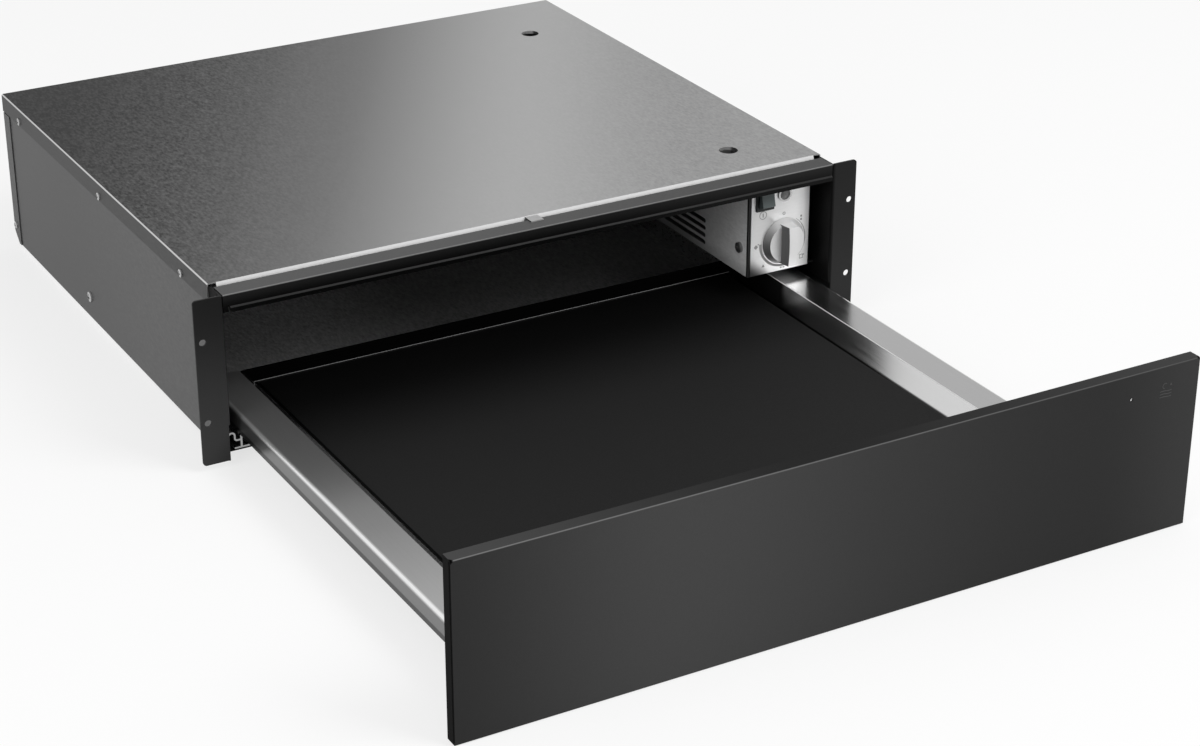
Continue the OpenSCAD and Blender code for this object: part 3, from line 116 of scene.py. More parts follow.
class Finish:
    """A node material, built step by step.

    Places are in the part's frame, in metres. A shade is a linear grey: a number or the output of a node.
    """

    def __init__(self, name, **settings):
        self.material = bpy.data.materials.new(name)
        self.material.use_nodes = True
        self.tree = self.material.node_tree
        self.shader = self.tree.nodes["Principled BSDF"]
        self.coordinates = self.tree.nodes.new("ShaderNodeTexCoord").outputs["Object"]
        self.normal = self.tree.nodes.new("ShaderNodeNewGeometry").outputs["Normal"]
        for socket, value in settings.items():
            self.shader.inputs[socket.replace("_", " ")].default_value = value

    def link(self, source, target):
        self.tree.links.new(source, target)

    def give(self, value, socket):
        """Links a socket's source, or sets a plain number or colour."""
        if isinstance(value, (int, float)):
            socket.default_value = value
        elif isinstance(value, tuple):
            socket.default_value = (*value, 1)
        else:
            self.link(value, socket)

    def noise(self, scale, roughness=0.5, stretch=(1, 1, 1)):
        """Noise whose grains are about 1 / scale metres wide."""
        mapping = self.tree.nodes.new("ShaderNodeMapping")
        mapping.inputs["Scale"].default_value = stretch
        self.link(self.coordinates, mapping.inputs["Vector"])
        texture = self.tree.nodes.new("ShaderNodeTexNoise")
        texture.inputs["Scale"].default_value = scale
        texture.inputs["Detail"].default_value = NOISE_DETAIL
        texture.inputs["Roughness"].default_value = roughness
        self.link(mapping.outputs["Vector"], texture.inputs["Vector"])
        return texture.outputs["Fac"]

    def dot(self, vector, direction):
        node = self.tree.nodes.new("ShaderNodeVectorMath")
        node.operation = "DOT_PRODUCT"
        node.inputs[1].default_value = direction
        self.link(vector, node.inputs[0])
        return node.outputs["Value"]

    def maths(self, operation, a, b):
        node = self.tree.nodes.new("ShaderNodeMath")
        node.operation = operation
        self.give(a, node.inputs[0])
        self.give(b, node.inputs[1])
        return node.outputs["Value"]

    def product(self, a, b):
        return self.maths("MULTIPLY", a, b)

    def largest(self, a, b):
        return self.maths("MAXIMUM", a, b)

    def inverse(self, a):
        """1 where the given share is 0, and 0 where it is 1."""
        return self.maths("SUBTRACT", 1, a)

    def ranged(self, value, low, high, start=NOISE_LOW, end=NOISE_HIGH, smooth=False):
        """From low to high while the value goes from start to end."""
        ramp = self.tree.nodes.new("ShaderNodeMapRange")
        ramp.interpolation_type = "SMOOTHSTEP" if smooth else "LINEAR"
        ramp.inputs["From Min"].default_value = start
        ramp.inputs["From Max"].default_value = end
        ramp.inputs["To Min"].default_value = low
        ramp.inputs["To Max"].default_value = high
        self.link(value, ramp.inputs["Value"])
        return ramp.outputs["Result"]

    def along(self, direction, start, end, smooth=True):
        """0 before start and 1 after end along a direction."""
        return self.ranged(self.dot(self.coordinates, direction), 0, 1, start, end, smooth)

    def towards(self, direction, start=TURN_START, end=TURN_END):
        """1 on faces that look in a direction, 0 on the others; start and end are cosines."""
        return self.ranged(self.dot(self.normal, direction), 0, 1, start, end, True)

    def sideways(self):
        """1 on faces that look to the left or to the right."""
        turn = self.maths("ABSOLUTE", self.dot(self.normal, LEFT), 0)
        return self.ranged(turn, 0, 1, TURN_START, TURN_END, True)

    def steps(self, value, stops, kind="CARDINAL"):
        """A shade that runs through the given stops, as (place from 0 to 1, shade)."""
        node = self.tree.nodes.new("ShaderNodeValToRGB")
        node.color_ramp.interpolation = kind
        elements = node.color_ramp.elements
        while len(elements) < len(stops):
            elements.new(0.5)
        for element, (place, shade) in zip(elements, stops):
            element.position = place
            element.color = (*grey(shade), 1)
        self.link(value, node.inputs["Fac"])
        return node.outputs["Color"]

    def blended(self, factor, a, b, kind="FLOAT"):
        """The shade a where the factor is 0 and b where it is 1; RGBA blends colours."""
        first, second, result = MIX_SOCKETS[kind]
        mix = self.tree.nodes.new("ShaderNodeMix")
        mix.data_type = kind
        self.link(factor, mix.inputs["Factor"])
        self.give(a, mix.inputs[first])
        self.give(b, mix.inputs[second])
        return mix.outputs[result]

    def swing(self, grain, amount):
        """The grain as a swing about 0."""
        return self.product(self.maths("SUBTRACT", grain, 0.5), amount)

    def grained(self, shade, grain, amount):
        """The shade, lighter and darker by an amount with the grain."""
        return self.product(shade, self.maths("ADD", self.swing(grain, amount), 1))

    def completed(self, shade, texture, rough, depth_mm, strength=0.3):
        """The material, with a bump of the texture; a roughness with two ends follows the texture too."""
        if isinstance(rough, tuple):
            rough = self.ranged(texture, *rough)
        self.link(shade, self.shader.inputs["Base Color"])
        self.link(rough, self.shader.inputs["Roughness"])
        bump = self.tree.nodes.new("ShaderNodeBump")
        bump.inputs["Strength"].default_value = strength
        bump.inputs["Distance"].default_value = depth_mm * MM
        self.link(texture, bump.inputs["Height"])
        self.link(bump.outputs["Normal"], self.shader.inputs["Normal"])
        return self.material


# Texture scales, in grains per metre, and directions in which drawn sheet has long lines
ZINC_GRAIN, ZINC_CLOUD = 500, 70
COAT_PEBBLE, MAT_PEBBLE, PANEL_PEBBLE = 900, 1100, 1300
SHEET_LINES, PLATE_LINES, PLATE_CLOUD = 700, 900, 40
SATIN, SATIN_CLOUD, MOULDED_CLOUD = 500, 20, 14
ZINC_STRETCH = (1, 0.42, 1)
DRAWN_BACKWARDS = (1, 0.02, 1)
DRAWN_ACROSS = (0.02, 1, 1)
BRUSHED_ACROSS = (0.12, 1, 1)
ZINC_PATCHES = (0.02, 0.14)
ZINC_DEPTH_MM = 0.02
COAT_DEPTH_MM = 0.02

# The names below hold either a span, as two places along a direction, or one or two shades
COVER_SWEEP = (0.867, -0.498, 0)
COVER_REACH = 0.3
# Painted sheen of the lid: a reflection painted into its colour, from the left back (0) to the right front
# (1)
COVER_PAINTED_SHEEN = ((0.0, 0.02), (0.3, 0.098), (0.46, 0.205), (0.66, 0.405), (0.88, 0.32))
COVER_GRAIN = ((0.0, 0.2), (0.2, 0.3), (0.5, 0.08), (0.7, 0.14), (0.9, 0.3))
COVER_SIDE, COVER_FOLD_HIGHLIGHT, COVER_LIP_HIGHLIGHT = 0.072, 0.6, 0.56


def zinc_grain(finish):
    """The fine mottle of a galvanised sheet, with larger and fainter patches in it."""
    fine = finish.noise(ZINC_GRAIN, 0.6, ZINC_STRETCH)
    cloud = finish.noise(ZINC_CLOUD)
    return finish.blended(finish.ranged(cloud, *ZINC_PATCHES), fine, cloud)


def galvanised(name, shade, amount=0.8, metallic=0.75, rough=0.42):
    finish = Finish(name, Metallic=metallic)
    grain = zinc_grain(finish)
    shade = finish.grained(shade, grain, amount)
    return finish.completed(shade, grain, (rough - 0.06, rough + 0.08), ZINC_DEPTH_MM)


def cover_zinc():
    """The lid: zinc with a painted sheen that changes evenly from the left back to the right front, and
    painted highlights on its left fold and front lip.
    """
    finish = Finish("cover_zinc", Metallic=0.75, Specular_IOR_Level=0.2, Specular_Tint=(0.7, 0.7, 0.7, 1))
    grain = zinc_grain(finish)
    place = finish.along(COVER_SWEEP, -COVER_REACH, COVER_REACH, smooth=False)
    swing = finish.swing(grain, finish.steps(place, COVER_GRAIN, "LINEAR"))
    shade = finish.largest(finish.maths("ADD", finish.steps(place, COVER_PAINTED_SHEEN), swing), 0)
    beside = finish.largest(finish.sideways(), finish.towards(BACK))
    shade = finish.blended(beside, shade, finish.grained(COVER_SIDE, grain, 2))
    # Painted highlights on the left fold and on the front lip
    shade = finish.blended(finish.towards(UP_LEFT, 0.86, 0.97), shade, COVER_FOLD_HIGHLIGHT)
    shade = finish.blended(finish.towards(FRONT), shade, COVER_LIP_HIGHLIGHT)
    return finish.completed(shade, grain, (0.34, 0.48), ZINC_DEPTH_MM, 0.25)


PAN_OUTSIDE_X = (0.02, 0.2)
PAN_DEPTH_Y, PAN_RIGHT_X = (0.24, -0.02), (-0.16, 0)
# Painted light and shade of the pan: a dark opening, a paler inside deep in, a shadowed front top corner
# and rim, and sides lighter towards the front
PAN_MOUTH_SHADE, PAN_DEEP_LIGHT = 0.03, (0.9, 0.34)
PAN_CORNER_Y, PAN_CORNER_Z = (0.2385, 0.2395), (0.122, 0.126)
PAN_CORNER_SHADOW = 0.002
PAN_SIDE_Y, PAN_SIDE = (-0.1, 0.15), (0.084, 0.1)
PAN_RIM_Z, PAN_RIM_X = (0.112, 0.122), (0.258, 0.266)
PAN_RIM_SHADE = 0.008
PAN_METAL = (0.25, 0.75)


def pan_zinc():
    """The casing's floor and sides: bare zinc outside, matt inside. Inside, painted light is dark at the
    opening and paler deep in, more so on the left, with painted shade on the top and the right wall;
    outside, painted light lifts the sides towards the front and a painted shadow blackens the front top
    corner.
    """
    finish = Finish("pan_zinc", Specular_IOR_Level=0.02)
    grain = zinc_grain(finish)
    side = finish.product(finish.dot(finish.coordinates, LEFT), finish.dot(finish.normal, LEFT))
    outside = finish.ranged(side, 0, 1, *PAN_OUTSIDE_X, smooth=True)
    deep = finish.blended(finish.along(RIGHT, *PAN_RIGHT_X), *PAN_DEEP_LIGHT)
    inside = finish.blended(finish.along(FRONT, *PAN_DEPTH_Y), PAN_MOUTH_SHADE, deep)
    corner = finish.product(finish.along(FRONT, *PAN_CORNER_Y), finish.along(UP, *PAN_CORNER_Z))
    outer = finish.blended(finish.along(FRONT, *PAN_SIDE_Y), *PAN_SIDE)
    outer = finish.blended(corner, outer, PAN_CORNER_SHADOW)
    rim = finish.largest(finish.along(UP, *PAN_RIM_Z), finish.along(RIGHT, *PAN_RIM_X))
    inside = finish.blended(rim, finish.grained(inside, grain, 1.5), PAN_RIM_SHADE)
    shade = finish.blended(outside, inside, finish.grained(outer, grain, 1.7))
    metal = finish.maths("SUBTRACT", finish.ranged(outside, *PAN_METAL, 0, 1), corner)
    finish.link(finish.largest(metal, 0), finish.shader.inputs["Metallic"])
    return finish.completed(shade, grain, (0.36, 0.5), ZINC_DEPTH_MM)


# Painted light and shade of the control box
BOX_LIT_Y, BOX_PAINTED_LIGHT = (0.12, 0.225), (0.38, 0.85)
BOX_FOOT_HEIGHT, BOX_FOOT_SHADE = 0.014, 0.62
BOX_END_X, BOX_END_SHADE = (0.25, 0.262), 0.02


def box_zinc():
    """The control box, with painted light that grows towards the opening at its front, and painted shade
    at its foot and at its right end.
    """
    finish = Finish("box_zinc", Specular_IOR_Level=0.3)
    grain = zinc_grain(finish)
    low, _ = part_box("control_box")
    foot = finish.along(UP, low[2], low[2] + BOX_FOOT_HEIGHT)
    shade = finish.blended(finish.along(FRONT, *BOX_LIT_Y), *BOX_PAINTED_LIGHT)
    shade = finish.product(shade, finish.blended(foot, BOX_FOOT_SHADE, 1))
    shade = finish.blended(finish.along(RIGHT, *BOX_END_X), shade, BOX_END_SHADE)
    return finish.completed(finish.grained(shade, grain, 0.4), grain, (0.4, 0.55), ZINC_DEPTH_MM)


# Painted light and shade of the crossbar's coat, with painted highlights on the slant and along the front
# top edge
BAR_TOP_X, BAR_TOP_LIT = (-0.1, 0.15), (0.066, 0.046)
BAR_LIP_DROPS, BAR_LIP_SHADE = (0.0175, 0.0165), 0.0002
BAR_FACE_DROP, BAR_FACE_LIGHT = 0.011, (0.001, 0.012)
BAR_SLANT_HIGHLIGHT, BAR_END_SHADE = 0.012, 0.002
BAR_EDGE_INSETS, BAR_EDGE_HIGHLIGHT = (0.0007, 0.0003), 0.2
LIP_STEP_MM = 1.2


def crossbar_black():
    """Black coat with painted light and shade: paler on top, lighter up the face, nearly black on the lip
    and the ends, with painted highlights on the lip's slant and along the front top edge.
    """
    finish = Finish("crossbar_black", Specular_IOR_Level=0.1)
    pebble = finish.noise(COAT_PEBBLE)
    low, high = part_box("front_crossbar")
    top = finish.blended(finish.along(RIGHT, *BAR_TOP_X), *BAR_TOP_LIT)
    face = finish.blended(finish.along(UP, high[2] - BAR_FACE_DROP, high[2]), *BAR_FACE_LIGHT)
    above_lip = finish.along(UP, *(high[2] - drop for drop in BAR_LIP_DROPS))
    shade = finish.blended(above_lip, BAR_LIP_SHADE, face)
    shade = finish.blended(finish.towards(UP, 0.85, 0.99), shade, top)
    shade = finish.blended(finish.towards(UP_FRONT, 0.84, 0.96), shade, BAR_SLANT_HIGHLIGHT)
    # A painted highlight along the front top edge
    edge = (high[2] - low[1] - LIP_STEP_MM * MM) * HALF
    edge_highlight = finish.along(UP_FRONT, *(edge - inset for inset in BAR_EDGE_INSETS))
    shade = finish.blended(edge_highlight, shade, BAR_EDGE_HIGHLIGHT)
    shade = finish.blended(finish.sideways(), shade, BAR_END_SHADE)
    return finish.completed(finish.grained(shade, pebble, 0.15), pebble, (0.36, 0.46), COAT_DEPTH_MM)


# Painted light and shade of the brackets' coat
EAR_HEIGHT_Z, EAR_LEFT, EAR_RIGHT = (0.02, 0.14), (0.036, 0.012), (0.022, 0.012)
EAR_BEND_X, EAR_BEND_SHADE = (0.273, 0.2736), 0.003
EAR_MIDDLE_X = (-0.01, 0.01)
EAR_BEHIND_Y, EAR_BEHIND_SHADE = (0.251, 0.25), 0.001
EAR_SIDE_SHADE = 0.004


def ear_black():
    """Black coat of the brackets, with painted shade: a little darker towards the top, and darker still on
    the right bend, behind the front and on the faces that look to the side.
    """
    finish = Finish("ear_black", Specular_IOR_Level=0.1)
    pebble = finish.noise(COAT_PEBBLE)
    height = finish.along(UP, *EAR_HEIGHT_Z)
    left = finish.blended(height, *EAR_LEFT)
    right = finish.blended(height, *EAR_RIGHT)
    right = finish.blended(finish.along(RIGHT, *EAR_BEND_X), EAR_BEND_SHADE, right)
    front = finish.blended(finish.along(RIGHT, *EAR_MIDDLE_X), left, right)
    front = finish.blended(finish.along(FRONT, *EAR_BEHIND_Y), front, EAR_BEHIND_SHADE)
    shade = finish.blended(finish.sideways(), front, EAR_SIDE_SHADE)
    return finish.completed(finish.grained(shade, pebble, 0.15), pebble, (0.38, 0.5), COAT_DEPTH_MM)


# The tray: painted reflections by a face's turn, from the middle (0) through up (0.5) to its own side (1)
TRAY_TURN_REFLECTIONS = (
    (0.0, 0.3), (0.15, 0.64), (0.35, 0.46), (0.5, 0.375), (0.72, 0.87), (0.9, 0.8), (1.0, 0.17),
)
TRAY_SLOPE_COSINES = (-0.6, -0.4)
TRAY_NEAR_Y, TRAY_RIGHT_X = (0.265, 0.32), (0.18, 0.2)
# Painted shade on the slopes deep inside, and a painted reflection of the plate on the right flange
TRAY_DEEP_SLOPE_SHADE = 0.16
TRAY_PLATE_REFLECTION = 0.88
# Painted reflection along the left flange, from back to front
TRAY_FLANGE_Y = (0.33, 0.63)
TRAY_FLANGE_REFLECTION = ((0.0, 1.0), (0.3, 0.82), (0.5, 0.68), (0.95, 1.04))
# Painted shade on the floor beside the mat, and a painted highlight along the right fold
TRAY_FOOT_Z, TRAY_FOOT_SHADE = (0.0215, 0.0228), 0.03
TRAY_RIDGE_INSETS, TRAY_RIDGE_HIGHLIGHT = (0.0002, 0.00014), 0.7
TRAY_METAL = (0.8, 1.0)
TRAY_SATIN, TRAY_GLOSS = 0.28, 0.07
FLANGE_WIDE = 0.03
FOLD_TURN = math.pi / 8
CENTRE_SOFT = 0.001


def tray_steel():
    """Bright stainless sheet with painted reflections: each fold of the tray's section has its own shade,
    with painted shade on the slopes deep inside and on the floor beside the mat, a painted reflection
    along the left flange and of the plate on the right flange, and a painted highlight along the right
    fold.
    """
    finish = Finish("tray_stainless")
    lines = finish.noise(SHEET_LINES, stretch=DRAWN_BACKWARDS)
    side = finish.ranged(finish.dot(finish.coordinates, LEFT), -1, 1, -CENTRE_SOFT, CENTRE_SOFT)
    turn = finish.product(finish.dot(finish.normal, LEFT), side)
    slope = finish.ranged(turn, 1, 0, *TRAY_SLOPE_COSINES, smooth=True)
    near = finish.along(FRONT, *TRAY_NEAR_Y)
    right = finish.along(RIGHT, *TRAY_RIGHT_X)
    left = finish.inverse(right)

    shade = finish.steps(finish.ranged(turn, 0, 1, -1, 1), TRAY_TURN_REFLECTIONS, "LINEAR")
    lit = finish.largest(near, finish.inverse(slope))
    shade = finish.product(shade, finish.blended(lit, TRAY_DEEP_SLOPE_SHADE, 1))
    flange_reflection = finish.steps(finish.along(FRONT, *TRAY_FLANGE_Y, smooth=False), TRAY_FLANGE_REFLECTION)
    flange = finish.product(finish.towards(UP, 0.85, 0.97), left)
    shade = finish.blended(flange, shade, finish.product(shade, flange_reflection))
    plate_reflection = finish.product(right, finish.inverse(finish.largest(near, slope)))
    shade = finish.blended(plate_reflection, shade, TRAY_PLATE_REFLECTION)
    shade = finish.blended(finish.along(UP, *TRAY_FOOT_Z), TRAY_FOOT_SHADE, shade)

    _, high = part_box("tray_pan")
    outwards = (-math.sin(FOLD_TURN), 0, math.cos(FOLD_TURN))
    fold = outwards[0] * (high[0] - FLANGE_WIDE) + outwards[2] * high[2]
    ridge_highlight = finish.along(outwards, *(fold - inset for inset in TRAY_RIDGE_INSETS))
    ridge_highlight = finish.product(ridge_highlight, right)
    shade = finish.blended(ridge_highlight, shade, TRAY_RIDGE_HIGHLIGHT)
    metal = finish.product(finish.blended(right, *TRAY_METAL), finish.inverse(ridge_highlight))
    finish.link(metal, finish.shader.inputs["Metallic"])

    satin = finish.blended(finish.product(slope, left), TRAY_SATIN, TRAY_GLOSS)
    rough = finish.blended(right, satin, finish.ranged(lines, 0.17, 0.23))
    return finish.completed(finish.grained(shade, lines, 0.08), lines, rough, 0.003, 0.2)


# A painted highlight along the wall's foot, on steel in painted dark shade
FOOT_LINE_BELOW_Z, FOOT_LINE_ABOVE_Z = (0.0228, 0.0229), (0.0233, 0.0232)
REAR_WALL_SHADE, FOOT_HIGHLIGHT = 0.002, 0.34


def rear_wall_steel():
    """The tray's back: steel in painted dark shade, apart from a painted highlight along the bend at its
    foot.
    """
    finish = Finish("rear_wall_stainless", Specular_IOR_Level=0.02)
    lines = finish.noise(SHEET_LINES, stretch=DRAWN_ACROSS)
    foot = finish.product(finish.along(UP, *FOOT_LINE_BELOW_Z), finish.along(UP, *FOOT_LINE_ABOVE_Z))
    foot = finish.product(foot, finish.towards(FRONT))
    shade = finish.grained(finish.blended(foot, REAR_WALL_SHADE, FOOT_HIGHLIGHT), lines, 0.1)
    return finish.completed(shade, lines, (0.22, 0.3), 0.004)


# A painted shadow on the mat, from the back wall out to its plain shade
MAT_Y, MAT = (0.225, 0.36), (0.0005, 0.011)


def mat_rubber():
    """Matt rubber with a fine pebble, and a painted shadow that darkens it towards the back wall."""
    finish = Finish("mat_rubber", Specular_IOR_Level=0.1)
    pebble = finish.noise(MAT_PEBBLE)
    shade = finish.grained(finish.blended(finish.along(FRONT, *MAT_Y), *MAT), pebble, 0.3)
    return finish.completed(shade, pebble, (0.66, 0.8), 0.1, 0.4)


# Painted sheen across the plate, and a painted soft shadow at its bottom left corner
PLATE_X, PLATE_SHEEN = (0.205, 0.25), (0.6, 0.84)
PLATE_CORNER_WAY, PLATE_CORNER_SPAN = (-0.6, 0, -0.8), (-0.171, -0.159)
PLATE_CORNER_SHADOW = 0.06


def plate_steel():
    """Pale brushed plate, with a painted sheen that grows to the right and a painted soft shadow at its
    bottom left corner.
    """
    finish = Finish("plate_stainless", Metallic=0.6)
    lines = finish.noise(PLATE_LINES, stretch=BRUSHED_ACROSS)
    cloud = finish.noise(PLATE_CLOUD)
    shade = finish.blended(finish.along(RIGHT, *PLATE_X, smooth=False), *PLATE_SHEEN)
    shade = finish.blended(finish.along(PLATE_CORNER_WAY, *PLATE_CORNER_SPAN), shade, PLATE_CORNER_SHADOW)
    shade = finish.grained(finish.grained(shade, lines, 0.1), cloud, 0.1)
    return finish.completed(shade, lines, (0.3, 0.36), 0.001, 0.2)


# The knob's shade, and a painted shade on its faces that look to the left
KNOB_WITH_LEFT_SHADE = (0.73, 0.2)


def knob_metal():
    """Satin metal, with painted shade on the faces that look to the left."""
    finish = Finish("knob_metal", Metallic=0.5)
    satin = finish.noise(SATIN)
    shade = finish.grained(finish.blended(finish.towards(LEFT, 0.35, 0.8), *KNOB_WITH_LEFT_SHADE), satin, 0.06)
    return finish.completed(shade, satin, (0.46, 0.54), 0.004)


PANEL_REACH = 0.3
# Painted sheen of the panel's front and top, from its left end (0) to its right end (1)
PANEL_FRONT_SHEEN = ((0.0, 0.028), (0.26, 0.055), (0.55, 0.041), (0.85, 0.029), (1.0, 0.041))
PANEL_TOP_SHEEN = ((0.0, 0.06), (0.35, 0.021), (0.6, 0.021), (1.0, 0.045))
PANEL_EDGE_HIGHLIGHT = (0.15, 0.07)
PANEL_SEAM_Y, PANEL_SIDE_SHADE = (0.6858, 0.6862), (0.003, 0.0002)
PANEL_CORNER_SPAN, PANEL_CORNER = (0.5985, 0.5995), 0.0005


def panel_coat():
    """Black coat of the front panel, with a painted sheen across its front and top, a painted highlight
    along its top front edge, painted shade on its sides and dark spots at its top front corners.
    """
    finish = Finish("panel_coat", Specular_IOR_Level=0.01)
    pebble = finish.noise(PANEL_PEBBLE)
    place = finish.along(RIGHT, -PANEL_REACH, PANEL_REACH, smooth=False)
    front, top = finish.steps(place, PANEL_FRONT_SHEEN), finish.steps(place, PANEL_TOP_SHEEN)
    shade = finish.blended(finish.towards(UP, 0.9, 0.99), front, top)
    # Painted shade on the sides
    side = finish.blended(finish.along(FRONT, *PANEL_SEAM_Y), *PANEL_SIDE_SHADE)
    shade = finish.blended(finish.sideways(), shade, side)
    # A painted highlight along the top front edge
    edge = finish.blended(place, *PANEL_EDGE_HIGHLIGHT)
    shade = finish.blended(finish.towards(UP_FRONT, 0.88, 0.99), shade, edge)
    for side in (-1, 1):
        corner = finish.along((side * 0.6, -0.5, 0.6), *PANEL_CORNER_SPAN)
        shade = finish.blended(corner, shade, PANEL_CORNER)
    return finish.completed(finish.grained(shade, pebble, 0.2), pebble, (0.34, 0.44), 0.01)


def polished(name, shade, rough=0.3, metallic=0.9):
    """Turned or drawn metal: a smooth face with faint marks of the tool."""
    finish = Finish(name, Metallic=metallic)
    satin = finish.noise(SATIN)
    cloud = finish.noise(SATIN_CLOUD)
    shade = finish.grained(finish.grained(shade, satin, 0.15), cloud, 0.15)
    return finish.completed(shade, satin, (rough - 0.05, rough + 0.08), 0.005)


def moulded(name, low, high, rough=0.45, level=0.35):
    """Moulded plastic, rubber or coat: a fine pebble and a slight change of shade, between two colours."""
    finish = Finish(name, Specular_IOR_Level=level)
    pebble = finish.noise(COAT_PEBBLE)
    cloud = finish.noise(MOULDED_CLOUD)
    colour = finish.blended(finish.ranged(cloud, 0, 1), low, high, "RGBA")
    return finish.completed(colour, pebble, (rough - 0.06, rough + 0.08), 0.03, 0.35)


BY_NODE = {
    "top_cover": cover_zinc(),
    "base_pan": pan_zinc(),
    "rear_panel": galvanised("rear_zinc", 0.06, 1.4),
    "front_crossbar": crossbar_black(),
    "tray_rear_wall": rear_wall_steel(),
    "box_screws": polished("dark_screw", 0.3, 0.3),
    "frame_screws": polished("black_screw", 0.012, 0.5, 0.2),
}
BY_SLOT = {
    "box_steel": box_zinc(),
    "black_frame": ear_black(),
    "screw_zinc": polished("zinc_screw", 0.5, 0.3),
    "stainless": tray_steel(),
    "control_steel": plate_steel(),
    "black_panel": panel_coat(),
    "carrier_steel": moulded("carrier_coat", grey(0.02), grey(0.03), 0.5),
    "mat_rubber": mat_rubber(),
    "bumper_rubber": moulded("bumper_rubber", grey(0.012), grey(0.018), 0.7),
    "black_plastic": moulded("black_plastic", grey(0.006), grey(0.01), 0.5),
    "switch_plastic": moulded("switch_plastic", (0.007, 0.010, 0.010), (0.011, 0.015, 0.015), 0.4),
    "rocker_plastic": moulded("rocker_plastic", (0.092, 0.112, 0.112), (0.112, 0.134, 0.134), 0.4),
    "silver_knob": knob_metal(),
    "lamp_chrome": polished("lamp_chrome", 0.5, 0.25, 0.8),
    "lamp_lens": moulded("lamp_lens", grey(0.2), grey(0.28), 0.25),
    "clear_plastic": moulded("light_guide", grey(0.75), grey(0.85), 0.3),
    "brass": polished("brass", 0.42),
    "ceramic": moulded("ceramic", grey(0.55), grey(0.62), 0.5),
    "fan_steel": galvanised("fan_zinc", 0.36),
    "motor_iron": moulded("motor_iron", grey(0.05), grey(0.08), 0.5),
    "heater_steel": polished("heater_tube", 0.1, 0.45),
    "cable_grey": moulded("cable_sleeve", grey(0.4), grey(0.5), 0.55),
    "slide_zinc": galvanised("slide_zinc", 0.45, 0.4, 0.9, 0.3),
    "cage_steel": galvanised("cage_steel", 0.3, 0.4, 0.9, 0.35),
    "ball_steel": polished("ball_steel", 0.65, 0.12, 1.0),
    "white_plastic": moulded("white_plastic", grey(0.55), grey(0.62), 0.4),
}


def dress_nodes():
    for part in frame["record"]["subparts"]:
        materials = frame["nodes"][part["node"]].data.materials
        materials.clear()
        materials.append(BY_NODE.get(part["node"]) or BY_SLOT[part["material_slot"]])


dress_nodes()

# Printed marks: flat shapes in X and Z, in mm, on a plane that looks to the front
INK_MM = 0.12
INK_SINK_MM = 0.03
ARC_STEP = math.radians(6)
WAVE_STEPS = 12


def rectangle(x, z, width, height):
    w, h = width / 2, height / 2
    return [(x - w, z - h), (x + w, z - h), (x + w, z + h), (x - w, z + h)]


class Print:
    """A set of printed marks, made as one thin mesh on a plane that looks to the front."""

    def __init__(self, plane_y):
        self.mesh = bmesh.new()
        self.front = plane_y - INK_MM * MM
        self.back = plane_y + INK_SINK_MM * MM

    def loop(self, points, y):
        return [self.mesh.verts.new((x * MM, y, z * MM)) for x, z in points]

    def area(self, points):
        """A convex outline, given anticlockwise as seen from the front."""
        front = self.loop(points, self.front)
        back = self.loop(points, self.back)
        self.mesh.faces.new(front)
        self.mesh.faces.new(back[::-1])
        for i in range(len(points)):
            j = (i + 1) % len(points)
            self.mesh.faces.new((front[j], front[i], back[i], back[j]))

    def band(self, outer, inner, closed=False):
        """The strip between two lines of points, closed on itself or with two ends."""
        front_out, front_in = self.loop(outer, self.front), self.loop(inner, self.front)
        back_out, back_in = self.loop(outer, self.back), self.loop(inner, self.back)
        count = len(outer)
        for i in range(count if closed else count - 1):
            j = (i + 1) % count
            self.mesh.faces.new((front_in[i], front_out[i], front_out[j], front_in[j]))
            self.mesh.faces.new((back_in[j], back_out[j], back_out[i], back_in[i]))
            self.mesh.faces.new((front_out[j], front_out[i], back_out[i], back_out[j]))
            self.mesh.faces.new((front_in[i], front_in[j], back_in[j], back_in[i]))
        if not closed:
            self.mesh.faces.new((front_out[0], front_in[0], back_in[0], back_out[0]))
            self.mesh.faces.new((front_in[-1], front_out[-1], back_out[-1], back_in[-1]))

    def block(self, x, z, width, height):
        self.area(rectangle(x, z, width, height))

    def peak(self, x, z, width, height):
        """A triangle that stands on the middle of its foot."""
        self.area([(x - width / 2, z), (x + width / 2, z), (x, z + height)])

    def arc(self, x, z, inner, start, end, widths):
        """A part of a ring, from one angle to another, that widens outwards from the first width."""
        steps = math.ceil(abs(end - start) / ARC_STEP)
        outer_line, inner_line = [], []
        for i in range(steps + 1):
            share = i / steps
            turn = start + (end - start) * share
            width = widths[0] + (widths[1] - widths[0]) * share
            for line, radius in ((outer_line, inner + width), (inner_line, inner)):
                line.append((x + radius * math.cos(turn), z + radius * math.sin(turn)))
        if abs(abs(end - start) - math.tau) < ARC_STEP / 2:
            self.band(outer_line[:-1], inner_line[:-1], closed=True)
        else:
            self.band(outer_line, inner_line)

    def ring(self, x, z, inner, width):
        self.arc(x, z, inner, 0, math.tau, (width, width))

    def wave(self, x, z, length, height, width):
        """One lying heat line: a shallow wave along X."""
        outer, inner = [], []
        for i in range(WAVE_STEPS + 1):
            share = i / WAVE_STEPS
            level = z + height * math.sin(share * math.tau)
            outer.append((x + length * (share - 0.5), level + width / 2))
            inner.append((x + length * (share - 0.5), level - width / 2))
        self.band(outer, inner)

    def place(self, name, body, slot, material):
        bmesh.ops.recalc_face_normals(self.mesh, faces=self.mesh.faces)
        mesh = bpy.data.meshes.new(name)
        self.mesh.to_mesh(mesh)
        self.mesh.free()
        mesh.materials.append(material)
        obj = added(name, mesh)
        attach(obj, body)


def centre(node):
    low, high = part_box(node)
    return [(a + b) / 2 / MM for a, b in zip(low, high)]


